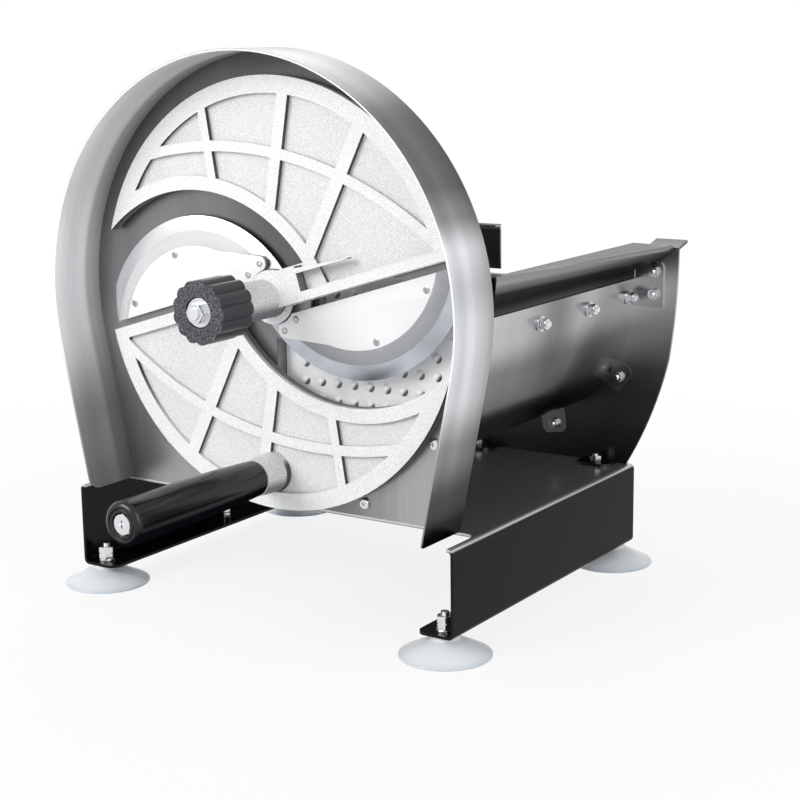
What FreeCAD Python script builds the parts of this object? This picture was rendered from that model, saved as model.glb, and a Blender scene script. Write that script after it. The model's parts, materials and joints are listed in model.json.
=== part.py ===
"""Manual fruit slicer: builds every solid of the assembly as its own STEP file.

Units are millimetres. Shapes are drawn with x to the right of the disc axis as
seen from the front, y from the front face of the cutting disc towards the rear
and z up from the table. `export` moves everything sideways so that the origin
ends up on the table under the middle of the whole machine.
"""
import FreeCAD
import Part

import math
import os

os.makedirs("parts", exist_ok=True)

V = FreeCAD.Vector
Y_AXIS = V(0, 1, 0)
Z_AXIS = V(0, 0, 1)

# Clearances
SLIDE_GAP = 0.4        # between a sliding piece and its guide
RUN_GAP = 0.05         # radial, shaft in its bushes and plate on the shaft
HOLE_GAP = 0.25        # radial, screw shank in a plain hole
TURN_GAP = 0.5         # between pieces that turn past each other

# Sheet metal
SHEET = 1.5
PLATE = 2.0
BEND = 4.0

# Overall position
AXIS_Z = 215.0         # height of the disc axis above the table
DISC_TURN = 17.0       # degrees the disc stands turned at rest
RIM_R = 144.0          # disc
HOOD_GAP = 19.5        # between the disc and the outside of the guard band
HOOD_R = RIM_R + HOOD_GAP

# Base
BASE_INSET = 7.7
BASE_HALF = HOOD_R - BASE_INSET
BASE_TOP = 73.0
BASE_BOTTOM = 14.0
BASE_FRONT = -26.0
BASE_REAR = 225.4
FLANGE = 28.4
BASE_STRIP = 5.0
NOTCH_HALF = BASE_HALF - BASE_STRIP
NOTCH_GAP = 0.3        # between the notch and the back plate
CORNER_R = 7.0

# Feet
FOOT_INSET = 12.3
FOOT_X = BASE_HALF - FOOT_INSET
FOOT_FRONT = -16.0
FOOT_REAR = 214.0
CUP_R = 30.0
CUP_LIP = 2.0
CUP_NECK_R = 9.0
STUD_R = 3.0
NUT_AF = 10.0
NUT_H = 4.6
NUT_ROUND = 0.565      # radius of the rounding as a share of the width across flats
NUT_CHAMFER = 0.12     # chamfer as a share of the height
WASHER_R = 6.0
WASHER_T = 1.2
CUP_NECK = (CUP_NECK_R + 0.8, 11.4)
CUP_FLARE = (18.0, 7.4)
CUP_EDGE = 1.4
CUP_HOLLOW = (16.0, 4.6)
CUP_ROOF = (4.0, 6.0)
STUD_SEAT = 8.0
STUD_TOP = 29.0
STUD_TIP = 0.7
SIDE_BOLT_INSET = 14.8
SIDE_BOLT_X = BASE_HALF - SIDE_BOLT_INSET
SIDE_BOLT_Y = 115.0
SIDE_BOLT_TAIL = 2.0
SIDE_BOLT_SINK = 0.2
SIDE_NUT_GAP = 0.6

# Hood and back plate
HOOD_DROP = 2.4
HOOD_FOOT_X = HOOD_R - 24.0
HOOD_FOOT_CUT = 12.0   # half width of the corner cuts at the feet of the band
HOOD_LEFT_CORNER = 8.0
HOOD_RIGHT_CORNER = 2.5
HOOD_FRONT = -34.3
HOOD_REAR = 11.0
BACK_FRONT = HOOD_REAR - SHEET
LEG_LEAN = 11.5
BACK_FLANGE = 20.0
BACK_FLANGE_HALF = HOOD_R - 38.5
DOUBLER_R = HOOD_R - 9.5
DOUBLER_TOP = 60.0
DOUBLER_LOW = 6.0      # above the table
DOUBLER_REAR = HOOD_REAR + PLATE

# Feed trough: inner section around the disc axis
TROUGH_LEFT = -3.4
TROUGH_STEP_X = 30.0
TROUGH_STEP_Z = -29.0
TROUGH_R = 156.5
TROUGH_ROUND = 70.0
TROUGH_TURN = -24.5
TROUGH_CORNER = 26.0
RIGHT_TOP = -4.0
LEFT_TOP = 18.0
OPENING_STEP = 14.5
OPENING_R = TROUGH_R - OPENING_STEP
REAR_PLATE_Y = 222.0
TAB_W = 20.0
TAB_REACH = 7.0
TAB_CORNER = 5.0
TAB_ROOT = 16.0
TAB_BOLT_TAIL = 5.0
REAR_TABS = ((-32.1, 7.5), (-80.7, 12.7))
TOP_TAB_OUT = 15.0
TOP_TAB_X = TROUGH_R + TOP_TAB_OUT
TOP_TAB_BOLTS = (1.5, -14.6)
TOP_TAB_IN = 4.0
TOP_TAB_LOW = -24.0
TOP_TAB_HIGH = RIGHT_TOP + 14.0

# Disc: both halves are drawn as the upper half and turned by half a turn
WIDE = 2 * RIM_R         # beyond every outline, for cutting blocks
DISC_T = 8.5
CAST_SLOT = 9.1
BLADE_SLOT = 13.9
CRESCENT_C = (-72.0, -24.0)
CRESCENT_R = 112.0
HUB_DISC_R = 18.0
HUB_T = 5.5
HUB_RING = 6.0         # width of the plain ring around the hub
HUB_POCKET_R = 29.0
BLADE_C = (-70.2, -17.3)
BLADE_EDGE_R = 87.4
BEVEL_R = 77.3
HOLDER_TOP_R = 70.5
HOLDER_FRONT = 1.0
BLADE_FRONT = 4.0
BLADE_REAR = 6.0
BLADE_INNER_R = 56.0
BLADE_LAND = 0.2
BLADE_SEAT_GAP = 0.1
BLADE_LIMIT_R = 142.5
BLADE_SCREW_R = 63.5
BLADE_SCREW_ANGLES = (42.5, 92.0, 141.0)
HUB_SCREW_R = 23.6
HUB_SCREW_ANGLES = (97.0, 128.0)
HUB_LUG_R = 4.6
SCREW3_R = 1.5
SCREW3_HEAD_R = 2.7
SCREW3_HEAD_H = 1.2

# Ribs of the casting: radial ribs as angle of the right edge and width
POCKET_DEPTH = 3.0
POCKET_RIM_R = 132.5
POCKET_ARC_R = 121.5
POCKET_LOW = -1.0
MID_RIB_C = (-88.4, -160.9)
MID_RIB_R = 277.4
MID_RIB_W = 7.0
RIB_FOCUS = (-41.3, -72.0)
RIBS = ((82.1, 6.5), (63.4, 8.5), (46.6, 9.5))
ARM_HEIGHT = 8.0
ARM_END_HEIGHT = 1.2
ARM_BLOCK_U = 31.0
ARM_TOP_V = 15.7
ARM_STEP = 1.0
ARM_CUT_U = (-2.0, 60.0)
UPPER_RIB_LOW = 9.9
UPPER_RIB_TIP = 0.8
ARM_TIP = (71.5, 9.4)
MAIN_RIB_TOP = -2.2
MAIN_RIB_LOW = -8.4
BOSS_R = 13.0
BOSS_FRONT = -35.0

# Shaft line
SHAFT_R = 8.5
SHAFT_FRONT = -31.0
FLANGE_R = 28.0
FLANGE_CORE_R = 18.0
FLANGE_INSET = 3.0     # the flange stays this far inside the edges of the blades
FLANGE_REAR = 8.5
BUSH_FRONT = 9.0
BUSH_R = 11.5
BUSH_L = 14.0
BUSH_FLANGE_R = 14.0
HOUSING_R = 19.0
HOUSING_FLANGE_R = 26.0
HOUSING_FLANGE_T = 5.0
HOUSING_END = 62.0
HOUSING_SCREW_R = 22.0
BUSH_FLANGE_T = 1.6
END_STUD_R = 6.0
END_WASHER_R = 13.0
END_WASHER_T = 2.0
END_NUT_AF = 18.0
END_NUT_H = 8.0
PIN_R = 2.4
PIN_INNER = 5.0
PIN_OUTER = 10.9
PIN_Y = -14.0
PIN_END_GAP = 0.3

# Adjusting screw and knob
SCREW_R = 4.0
SCREW_REAR = 10.0
SCREW_COLLAR_R = 7.8
SCREW_COLLAR_T = 3.0
RETAINER_R = 12.5
RETAINER_T = 2.5
RETAINER_SCREW_R = 1.0
RETAINER_SCREW_V = 10.7
RETAINER_SCREW_DEEP = 6.0
KNOB_REAR = BOSS_FRONT - RETAINER_T - TURN_GAP
KNOB_LOBE_END = -44.0
KNOB_FRONT = -74.2
KNOB_R = 20.6
KNOB_NECK_R = 13.0
KNOB_LOBES = 13
KNOB_LOBE_R = 5.4
KNOB_CORE_R = KNOB_R - 0.45 * KNOB_LOBE_R
KNOB_NECK_TAPER = 1.5
KNOB_RECESS_R = 9.8
KNOB_RECESS = 2.0
KNOB_WASHER_R = 9.3
SCREW_FRONT = -79.0
KNOB_NUT_AF = 12.0
KNOB_NUT_H = 4.5

# Crank handle
HANDLE_U = -38.0
HANDLE_V = -112.8
HANDLE_BOSS_R = 12.4
HANDLE_BOSS_FLARE = 1.5
HANDLE_BOSS_FRONT = -19.5
GRIP_REAR = -20.0
GRIP_FRONT = -148.5
GRIP_R = 14.3
GRIP_REAR_R = 12.0
GRIP_SHOULDER = -143.0
GRIP_SWELL = 0.4       # how much the grip grows from its middle to its full width
GRIP_MID = (GRIP_REAR + GRIP_FRONT) / 2 + 20.0
GRIP_FULL = (GRIP_REAR + GRIP_FRONT) / 2 - 35.0
GRIP_WASHER_R = 6.8
GRIP_SCREW_HEAD_R = 6.5
GRIP_SCREW_SINK = 0.4
GRIP_SCREW_END = GRIP_SHOULDER + 12.0
SPINDLE_R = 5.0
SPINDLE_REAR = 6.0
SPINDLE_BORE = 14.0
GRIP_BORE_R = 7.2
GRIP_ROUND = 3.6
GROOVE_INNER_R = 9.2
GROOVE_OUTER_R = 10.0
GROOVE_DEPTH = 0.7

# Rail and guide strip along the right trough wall
FACE_GAP = 0.02        # between flat pieces that are bolted together
RAIL_FACE = TROUGH_R - FACE_GAP
STRIP_FACE = RAIL_FACE - SHEET - FACE_GAP
RAIL_TOP = 21.0
RAIL_FRONT_EDGE = (163.5, 23.0)     # outer edge of the roof and lower edge of the lip
RAIL_FRONT_LIP = (161.0, 5.6)
RAIL_REAR_EDGE = (189.3, 20.6)
RAIL_REAR_LIP = (172.0, 6.6)
RAIL_ROUND = 1.6
RAIL_LOW = -27.0
STRIP_T = 8.0
STRIP_TOP = -6.0
STRIP_SINK = 4.0       # how deep the bolt heads lie in the strip
STRIP_SHORT = 4.0
RAIL_BOLT_Z = -16.4
RAIL_BOLTS_Y = (80.0, 148.0, 208.0)
RAIL_BOLT_TAIL = 7.0
BOLT_CUT_IN = 20.0     # how far the cutters of the bolt holes reach in and out
BOLT_CUT_OUT = 10.0
SEAT_R = 5.0
SEAT_T = 1.8
SEAT_IN = 0.8
END_GAP = 0.3          # between the ends of rail or strip and the trough flanges

# Pusher
PUSH_FACE = 19.0
PUSH_FACE_T = 4.0
PUSH_REAR = 55.0
PUSH_TOP = 50.0
PUSH_WING_LOW = RAIL_TOP + 0.6
PUSH_LIP = 7.0
PUSH_SIDE = 6.5
PUSH_UPRIGHT_LOW = -40.0
PUSH_UPRIGHT_IN = 6.0
PUSH_WING_IN = 20.0
PUSH_WING_OUT = 2.5
PUSH_RIGHT_R = TROUGH_R - SHEET - STRIP_T - PUSH_SIDE
DIMPLE_R = 3.5
DIMPLE_H = 2.2
DIMPLE_DX = 13.0
DIMPLE_DZ = 12.0
DIMPLE_MID_Z = -45.0
DIMPLE_ROWS = 11
DIMPLE_EDGE = 1.5
PUSH_HANDLE_R = 7.0
PUSH_HANDLE_BACK = 34.0
PUSH_HANDLE_Z = 6.0
PUSH_HANDLE_X = (60.0, 118.0)
PUSH_HANDLE_OVER = 10.0
PUSH_LEG_R = 4.0
PUSH_HANDLE_ROUND = 2.0

# Rear plate: arc points of the right outline
SHIELD_LEFT = -18.0
EAR_OUT = 32.5
EAR_X = TROUGH_R + EAR_OUT
SHIELD_EAR = (EAR_X, 19.0)
SHIELD_SIDE = (EAR_X - 1.8, -28.0)
SHIELD_WAIST = (EAR_X - 6.0, -61.5)
SHIELD_LOWER = (EAR_X - 18.5, -101.0)
SHIELD_FOOT = (EAR_X - 38.5, BASE_TOP - AXIS_Z + 0.1)
EAR_GAP = 8.5
EAR_INNER = TROUGH_R + EAR_GAP
EAR_LIP = 13.0
EAR_RISE = 4.0
FOOT_FLANGE = 18.0
FOOT_FLANGE_HALF = 13.0
FOOT_FLANGE_CORNER = 6.0
OPEN_LEFT_RISE = 9.0   # how far the opening of the plate rises above the trough walls
OPEN_RIGHT_RISE = 12.0
OPEN_ABOVE = 30.0

# Screws
M4_R = 2.0
M4_HEAD_R = 3.9
M4_HEAD_H = 2.2
M5_R = 2.5
M5_NUT_AF = 8.0
M5_NUT_H = 4.4
M4_NUT_AF = 7.0
M4_NUT_H = 3.2
M4_LOCK_NUT_H = 4.0
M5_BOLT_HEAD_H = 3.5
M5_TAIL = 1.5          # what stands out of a nut

# Shift of the origin to the middle of the footprint of the whole machine
X_SHIFT = (FOOT_X + CUP_R - EAR_X) / 2
Y_SHIFT = -(GRIP_FRONT + FOOT_REAR + CUP_R) / 2


def export(name, shapes):
    """Write one node; shapes is a single solid or a list of equal pieces."""
    if not isinstance(shapes, (list, tuple)):
        shapes = [shapes]
    solids = []
    for shape in shapes:
        solids.extend(shape.Solids)
    node = solids[0] if len(solids) == 1 else Part.makeCompound(solids)
    node.translate(V(X_SHIFT, Y_SHIFT, 0))
    node.exportStep("parts/%s.step" % name)
    box = node.BoundBox
    print("%-22s solids %2d valid %s  x %.1f..%.1f y %.1f..%.1f z %.1f..%.1f" % (
        name, len(solids), node.isValid(), box.XMin, box.XMax, box.YMin, box.YMax,
        box.ZMin, box.ZMax))


def lift(shape):
    """Raise a shape drawn around the disc axis to its height."""
    shape.translate(V(0, 0, AXIS_Z))
    return shape


def turned(shape):
    """Turn a shape drawn in the disc frame to the rest angle and raise it."""
    shape.rotate(V(0, 0, 0), Y_AXIS, -DISC_TURN)
    return lift(shape)


def half_turned(shape):
    """Copy of a disc shape turned half a revolution."""
    copy = shape.copy()
    copy.rotate(V(0, 0, 0), Y_AXIS, 180)
    return copy


def block(x0, x1, y0, y1, z0, z1):
    """Box between two corners."""
    return Part.makeBox(x1 - x0, y1 - y0, z1 - z0, V(x0, y0, z0))


def rod(radius, y0, y1, x=0.0, z=0.0):
    """Cylinder along y."""
    return Part.makeCylinder(radius, y1 - y0, V(x, y0, z), Y_AXIS)


def post(radius, z0, z1, x=0.0, y=0.0):
    """Cylinder along z."""
    return Part.makeCylinder(radius, z1 - z0, V(x, y, z0), Z_AXIS)


def cone(r0, r1, y0, y1, x=0.0, z=0.0):
    """Cone along y."""
    return Part.makeCone(r0, r1, y1 - y0, V(x, y0, z), Y_AXIS)


def hexagon(across, height, base, axis):
    """Hexagonal prism standing on base along axis."""
    corner = across / math.sqrt(3)
    points = [V(corner * math.cos(i * math.pi / 3), corner * math.sin(i * math.pi / 3), 0)
              for i in range(7)]
    prism = Part.Face(Part.makePolygon(points)).extrude(V(0, 0, height))
    prism.Placement = FreeCAD.Placement(base, FreeCAD.Rotation(Z_AXIS, axis))
    return prism


def nut(across, height, hole, base, axis):
    """Hexagon nut with chamfered corners."""
    limit = Part.makeCylinder(across * NUT_ROUND, height, base, axis)
    rims = [e for e in limit.Edges if e.Length > across * 2]
    limit = limit.makeChamfer(height * NUT_CHAMFER, [e for e in rims if len(e.Vertexes) == 1])
    body = hexagon(across, height, base, axis).common(limit)
    return body.cut(Part.makeCylinder(hole, height, base, axis))


def washer(outer, inner, thick, base, axis):
    """Flat washer."""
    ring = Part.makeCylinder(outer, thick, base, axis)
    return ring.cut(Part.makeCylinder(inner, thick, base, axis))


def pan_screw(radius, head_r, head_h, length, base, axis):
    """Pan head screw, head on the base point against the axis, shank along it."""
    back = V(axis.x, axis.y, axis.z).normalize() * -1
    shank = Part.makeCylinder(radius, length, base, axis)
    head = Part.makeCylinder(head_r, head_h, base, back)
    edge = [e for e in head.Edges if (e.CenterOfMass - base).Length > head_h * 0.9
            and abs(e.Length - 2 * math.pi * head_r) < 0.01]
    head = head.makeFillet(head_h * 0.6, edge)
    return head.fuse(shank).removeSplitter()


def arc3(a, b, c):
    """Arc edge through three points given as x, z pairs in the plane y = 0."""
    return Part.Arc(V(a[0], 0, a[1]), V(b[0], 0, b[1]), V(c[0], 0, c[1])).toShape()


def seg(a, b):
    """Straight edge between two x, z pairs in the plane y = 0."""
    return Part.LineSegment(V(a[0], 0, a[1]), V(b[0], 0, b[1])).toShape()


def prism(edges, y0, y1):
    """Closed outline in the xz plane extruded along y."""
    wire = Part.Wire(edges)
    wire.translate(V(0, y0, 0))
    return Part.Face(wire).extrude(V(0, y1 - y0, 0))


def polygon(points, y0, y1):
    """Straight outline in the xz plane extruded along y."""
    ring = [V(p[0], y0, p[1]) for p in points]
    ring.append(ring[0])
    return Part.Face(Part.makePolygon(ring)).extrude(V(0, y1 - y0, 0))


def on_arc(center, radius, degrees):
    """Point on a circle."""
    a = math.radians(degrees)
    return (center[0] + radius * math.cos(a), center[1] + radius * math.sin(a))


# Base and feet

def base_frame():
    """Bent sheet table with inward flanges and a notch at the front."""
    outer = block(-BASE_HALF, BASE_HALF, BASE_FRONT, BASE_REAR, BASE_BOTTOM, BASE_TOP)
    long_edges = [e for e in outer.Edges if abs(e.Length - (BASE_REAR - BASE_FRONT)) < 0.1]
    outer = outer.makeFillet(BEND, long_edges)
    inner = block(-BASE_HALF + PLATE, BASE_HALF - PLATE, BASE_FRONT - 1, BASE_REAR + 1,
                  BASE_BOTTOM + PLATE, BASE_TOP - PLATE)
    long_edges = [e for e in inner.Edges if abs(e.Length - (BASE_REAR - BASE_FRONT + 2)) < 0.1]
    inner = inner.makeFillet(BEND - PLATE, long_edges)
    frame = outer.cut(inner)
    open_half = BASE_HALF - FLANGE
    frame = frame.cut(block(-open_half, open_half, BASE_FRONT - 1, BASE_REAR + 1,
                            BASE_BOTTOM - 1, BASE_BOTTOM + PLATE + 1))
    notch = block(-NOTCH_HALF, NOTCH_HALF, BASE_FRONT - 1, BACK_FRONT - NOTCH_GAP,
                  BASE_TOP - PLATE - 1, BASE_TOP + 1)
    upright = [e for e in notch.Edges if abs(e.Length - PLATE - 2) < 0.01
               and e.CenterOfMass.y > 0]
    frame = frame.cut(notch.makeFillet(CORNER_R, upright))
    for side in (-1, 1):
        for y in (BASE_FRONT, BASE_REAR):
            inward = 1 if y < 0 else -1
            x = side * open_half
            piece = block(min(x, x + side * CORNER_R), max(x, x + side * CORNER_R),
                          min(y, y + inward * CORNER_R), max(y, y + inward * CORNER_R),
                          BASE_BOTTOM - 1, BASE_BOTTOM + PLATE + 1)
            piece = piece.cut(post(CORNER_R, BASE_BOTTOM - 1, BASE_BOTTOM + PLATE + 1,
                                   x + side * CORNER_R, y + inward * CORNER_R))
            frame = frame.cut(piece)
        for y in (FOOT_FRONT, FOOT_REAR):
            frame = frame.cut(post(STUD_R + HOLE_GAP, BASE_BOTTOM - 1, BASE_BOTTOM + PLATE + 1,
                                   side * FOOT_X, y))
        frame = frame.cut(post(M5_R + HOLE_GAP, BASE_BOTTOM - 1, BASE_BOTTOM + PLATE + 1,
                               side * SIDE_BOLT_X, SIDE_BOLT_Y))
    for x, y in HOOD_BOLTS + FOOT_BOLTS:
        frame = frame.cut(post(M5_R + HOLE_GAP, BASE_TOP - PLATE - 1, BASE_TOP + 1, x, y))
    return frame


def foot_places():
    """Corner name and position of the four feet."""
    return [("front_left", -FOOT_X, FOOT_FRONT), ("front_right", FOOT_X, FOOT_FRONT),
            ("rear_left", -FOOT_X, FOOT_REAR), ("rear_right", FOOT_X, FOOT_REAR)]


def suction_cup(x, y):
    """Soft foot: flared skirt with a hollow underside and a neck for the stud."""
    neck_z = BASE_BOTTOM
    outline = [
        seg((0, neck_z), (CUP_NECK_R, neck_z)),
        seg((CUP_NECK_R, neck_z), CUP_NECK),
        arc3(CUP_NECK, CUP_FLARE, (CUP_R, CUP_EDGE)),
        seg((CUP_R, CUP_EDGE), (CUP_R, 0)),
        seg((CUP_R, 0), (CUP_R - CUP_LIP, 0)),
        arc3((CUP_R - CUP_LIP, 0), CUP_HOLLOW, CUP_ROOF),
        seg(CUP_ROOF, (0, CUP_ROOF[1])),
        seg((0, CUP_ROOF[1]), (0, neck_z)),
    ]
    cup = Part.Face(Part.Wire(outline)).revolve(V(0, 0, 0), Z_AXIS, 360)
    cup = cup.cut(post(STUD_R, STUD_SEAT, neck_z + 1))
    cup.translate(V(x, y, 0))
    return cup


def foot_stud(x, y):
    """Threaded stud standing in the cup."""
    stud = post(STUD_R, STUD_SEAT, STUD_TOP, x, y)
    tip = [e for e in stud.Edges if e.CenterOfMass.z > STUD_TOP - 1 and len(e.Vertexes) == 1]
    return stud.makeChamfer(STUD_TIP, tip)


def foot_nuts(x, y):
    """Washer and two nuts that clamp one foot to the flange."""
    top = BASE_BOTTOM + PLATE
    ring = washer(WASHER_R, STUD_R, WASHER_T, V(x, y, top), Z_AXIS)
    low = nut(NUT_AF, NUT_H, STUD_R, V(x, y, top + WASHER_T), V(0, 0, 1))
    high = nut(NUT_AF, NUT_H, STUD_R, V(x, y, top + WASHER_T + NUT_H), V(0, 0, 1))
    return [ring, low, high]


def side_bolts():
    """Bolts with two nuts each, halfway along the flanges."""
    shapes = []
    for side in (-1, 1):
        x = side * SIDE_BOLT_X
        top = BASE_BOTTOM + PLATE
        bolt = post(M5_R, BASE_BOTTOM - SIDE_BOLT_SINK, top + 2 * M5_NUT_H + SIDE_BOLT_TAIL, x, SIDE_BOLT_Y)
        head_base = V(x, SIDE_BOLT_Y, BASE_BOTTOM - M5_BOLT_HEAD_H)
        bolt = bolt.fuse(hexagon(M5_NUT_AF, M5_BOLT_HEAD_H, head_base, Z_AXIS))
        shapes.append(bolt)
    return shapes


def side_bolt_nuts():
    """The nuts on the bolts of the flanges."""
    shapes = []
    for side in (-1, 1):
        top = BASE_BOTTOM + PLATE
        for level in range(2):
            base = V(side * SIDE_BOLT_X, SIDE_BOLT_Y, top + level * (M5_NUT_H + SIDE_NUT_GAP))
            shapes.append(nut(M5_NUT_AF, M5_NUT_H, M5_R, base, V(0, 0, 1)))
    return shapes


# Hood

def hood_outline(radius, foot_z):
    """Arch with legs leaning inward, closed at the foot; drawn around the axis."""
    lean = math.radians(LEG_LEAN)
    cz = -HOOD_DROP
    tx = radius * math.cos(lean)
    tz = cz - radius * math.sin(lean)
    fx = tx - (tz - foot_z) * math.tan(lean)
    return [arc3((tx, tz), (0, cz + radius), (-tx, tz)), seg((-tx, tz), (-fx, foot_z)),
            seg((-fx, foot_z), (fx, foot_z)), seg((fx, foot_z), (tx, tz))]


def hood_band():
    """Arched guard band around the disc."""
    foot = BASE_TOP - AXIS_Z
    outer = prism(hood_outline(HOOD_R, foot), HOOD_FRONT, HOOD_REAR)
    inner = prism(hood_outline(HOOD_R - SHEET, foot - 1), HOOD_FRONT - 1, HOOD_REAR + 1)
    band = outer.cut(inner)
    for side, size in ((-1, HOOD_LEFT_CORNER), (1, HOOD_RIGHT_CORNER)):
        x0, x1 = sorted((side * (HOOD_FOOT_X - HOOD_FOOT_CUT), side * (HOOD_FOOT_X + HOOD_FOOT_CUT)))
        piece = block(x0, x1, HOOD_FRONT, HOOD_FRONT + size, foot - 1, foot + size)
        keep = Part.makeCylinder(size, x1 - x0, V(x0, HOOD_FRONT + size, foot + size), V(1, 0, 0))
        band = band.cut(piece.cut(keep))
    return lift(band)


def trough_path(inset=0.0, left_top=LEFT_TOP, right_top=RIGHT_TOP):
    """Path of the trough section from left top to right top; inset moves it inward."""
    lx = TROUGH_LEFT + inset
    sx = TROUGH_STEP_X + inset
    sz = TROUGH_STEP_Z - inset
    big = TROUGH_R - inset
    small = TROUGH_ROUND - inset
    corner = TROUGH_CORNER - inset
    c2 = on_arc((0, 0), TROUGH_R - TROUGH_ROUND, TROUGH_TURN)
    bottom = c2[1] - small
    c1 = (lx + corner, bottom + corner)
    top = math.degrees(math.asin(right_top / big))
    half = (TROUGH_TURN + top) / 2
    return [
        seg((sx, left_top), (sx, sz)),
        seg((sx, sz), (lx, sz)),
        seg((lx, sz), (lx, c1[1])),
        arc3((lx, c1[1]), on_arc(c1, corner, 225), (c1[0], bottom)),
        seg((c1[0], bottom), (c2[0], bottom)),
        arc3((c2[0], bottom), on_arc(c2, small, (TROUGH_TURN - 90) / 2),
             on_arc(c2, small, TROUGH_TURN)),
        arc3(on_arc(c2, small, TROUGH_TURN), on_arc((0, 0), big, half),
             on_arc((0, 0), big, top)),
        seg(on_arc((0, 0), big, top), (sx, left_top)),
    ]


def trough_block(y0, y1, inset=0.0, left_top=LEFT_TOP, right_top=RIGHT_TOP):
    """Solid in the shape of the space inside the trough."""
    return prism(trough_path(inset, left_top, right_top), y0, y1)


def feed_opening(y0, y1):
    """Cutter for the feed opening, kept inside the sweep of the blades."""
    space = trough_block(y0, y1, 0.0, LEFT_TOP, LEFT_TOP)
    return space.common(rod(OPENING_R, y0, y1))


HOOD_BOLT_X = BACK_FLANGE_HALF - 15.0
HOOD_BOLTS = [(-HOOD_BOLT_X, 21.0), (0.0, 21.0), (HOOD_BOLT_X, 21.0)]
FOOT_BOLTS = [(30.0, 212.0), (131.0, 212.0)]
SCREW_OUT = M4_HEAD_R + TURN_GAP       # plate screws stand clear of the disc's rim
SCREW_IN = 8.1                         # the first one also inside the trough wall
PLATE_SCREWS = [(max(RIM_R + SCREW_OUT, TROUGH_R - SCREW_IN), -35.7),
                (RIM_R + SCREW_OUT + 0.2, -63.6), (RIM_R + SCREW_OUT + 0.9, -133.1)]
PLATE_SCREW_L = 12.0


def back_plate():
    """Flat wall behind the disc with the feed opening and a foot flange."""
    foot = BASE_TOP - AXIS_Z
    wall = prism(hood_outline(HOOD_R - SHEET, foot), BACK_FRONT, HOOD_REAR)
    flange = block(-BACK_FLANGE_HALF, BACK_FLANGE_HALF, BACK_FRONT, BACK_FRONT + BACK_FLANGE,
                   foot, foot + SHEET)
    wall = wall.fuse(flange).removeSplitter()
    wall = wall.cut(feed_opening(BACK_FRONT - 1, HOOD_REAR + 1))
    wall = wall.cut(rod(BUSH_FLANGE_R + TURN_GAP, BACK_FRONT - 1, HOOD_REAR + 1))
    for x, z in housing_screw_places():
        wall = wall.cut(rod(M4_R + HOLE_GAP, BACK_FRONT - 1, HOOD_REAR + 1, x, z))
    for radius, angle in PLATE_SCREWS:
        x, z = on_arc((0, 0), radius, angle)
        wall = wall.cut(rod(M4_R + HOLE_GAP, BACK_FRONT - 1, HOOD_REAR + 1, x, z))
    for x, y in HOOD_BOLTS:
        wall = wall.cut(post(M5_R + HOLE_GAP, foot - 1, foot + SHEET + 1, x, y))
    return lift(wall)


def doubler_plate():
    """Stiffening plate behind the back plate that carries bearing and trough."""
    disc = rod(DOUBLER_R, HOOD_REAR, DOUBLER_REAR)
    disc = disc.common(block(-DOUBLER_R, DOUBLER_R, HOOD_REAR, DOUBLER_REAR,
                             BASE_TOP - AXIS_Z + DOUBLER_LOW, DOUBLER_TOP))
    disc = disc.cut(feed_opening(HOOD_REAR - 1, DOUBLER_REAR + 1))
    disc = disc.cut(rod(BUSH_FLANGE_R + TURN_GAP, HOOD_REAR - 1, DOUBLER_REAR + 1))
    for x, z in housing_screw_places():
        disc = disc.cut(rod(M4_R + HOLE_GAP, HOOD_REAR - 1, DOUBLER_REAR + 1, x, z))
    for radius, angle in PLATE_SCREWS:
        x, z = on_arc((0, 0), radius, angle)
        disc = disc.cut(rod(M4_R + HOLE_GAP, HOOD_REAR - 1, DOUBLER_REAR + 1, x, z))
    return lift(disc)


def plate_screws():
    """Pan head screws that hold back plate and doubler together."""
    shapes = []
    for radius, angle in PLATE_SCREWS:
        x, z = on_arc((0, 0), radius, angle)
        screw = pan_screw(M4_R, M4_HEAD_R, M4_HEAD_H, PLATE_SCREW_L,
                          V(x, BACK_FRONT, z), V(0, 1, 0))
        shapes.append(lift(screw))
    return shapes


def plate_nuts():
    """Nuts behind the doubler plate."""
    shapes = []
    for radius, angle in PLATE_SCREWS:
        x, z = on_arc((0, 0), radius, angle)
        base = V(x, DOUBLER_REAR + SHEET, z)
        shapes.append(lift(nut(M4_NUT_AF, M4_NUT_H, M4_R, base, V(0, 1, 0))))
    return shapes


def housing_screw_places():
    """Four places around the bearing housing."""
    return [on_arc((0, 0), HOUSING_SCREW_R, 45 + 90 * i) for i in range(4)]


def foot_bolts(places, top, grip):
    """Hexagon bolts from below with their nuts on top, as pairs of lists."""
    bolts = []
    nuts = []
    for x, y in places:
        bolt = post(M5_R, top - grip, top + M5_NUT_H + M5_TAIL, x, y)
        head_base = V(x, y, top - grip - M5_BOLT_HEAD_H)
        bolt = bolt.fuse(hexagon(M5_NUT_AF, M5_BOLT_HEAD_H, head_base, Z_AXIS))
        bolts.append(bolt)
        nuts.append(nut(M5_NUT_AF, M5_NUT_H, M5_R, V(x, y, top), V(0, 0, 1)))
    return bolts, nuts


# Feed trough

def tab(x, z, y0, y1, angle, inner):
    """Tab around a screw place, reaching back to the trough wall."""
    piece = block(-inner, TAB_REACH, y0, y1, -TAB_W / 2, TAB_W / 2)
    outer = [e for e in piece.Edges if abs(e.Length - (y1 - y0)) < 0.01
             and e.CenterOfMass.x > 0]
    piece = piece.makeFillet(TAB_CORNER, outer)
    piece = piece.cut(rod(M4_R + HOLE_GAP, y0 - 1, y1 + 1))
    piece.rotate(V(0, 0, 0), Y_AXIS, -angle)
    piece.translate(V(x, 0, z))
    return piece


def round_center():
    """Centre of the lower right round of the trough section."""
    return on_arc((0, 0), TROUGH_R - TROUGH_ROUND, TROUGH_TURN)


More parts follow.
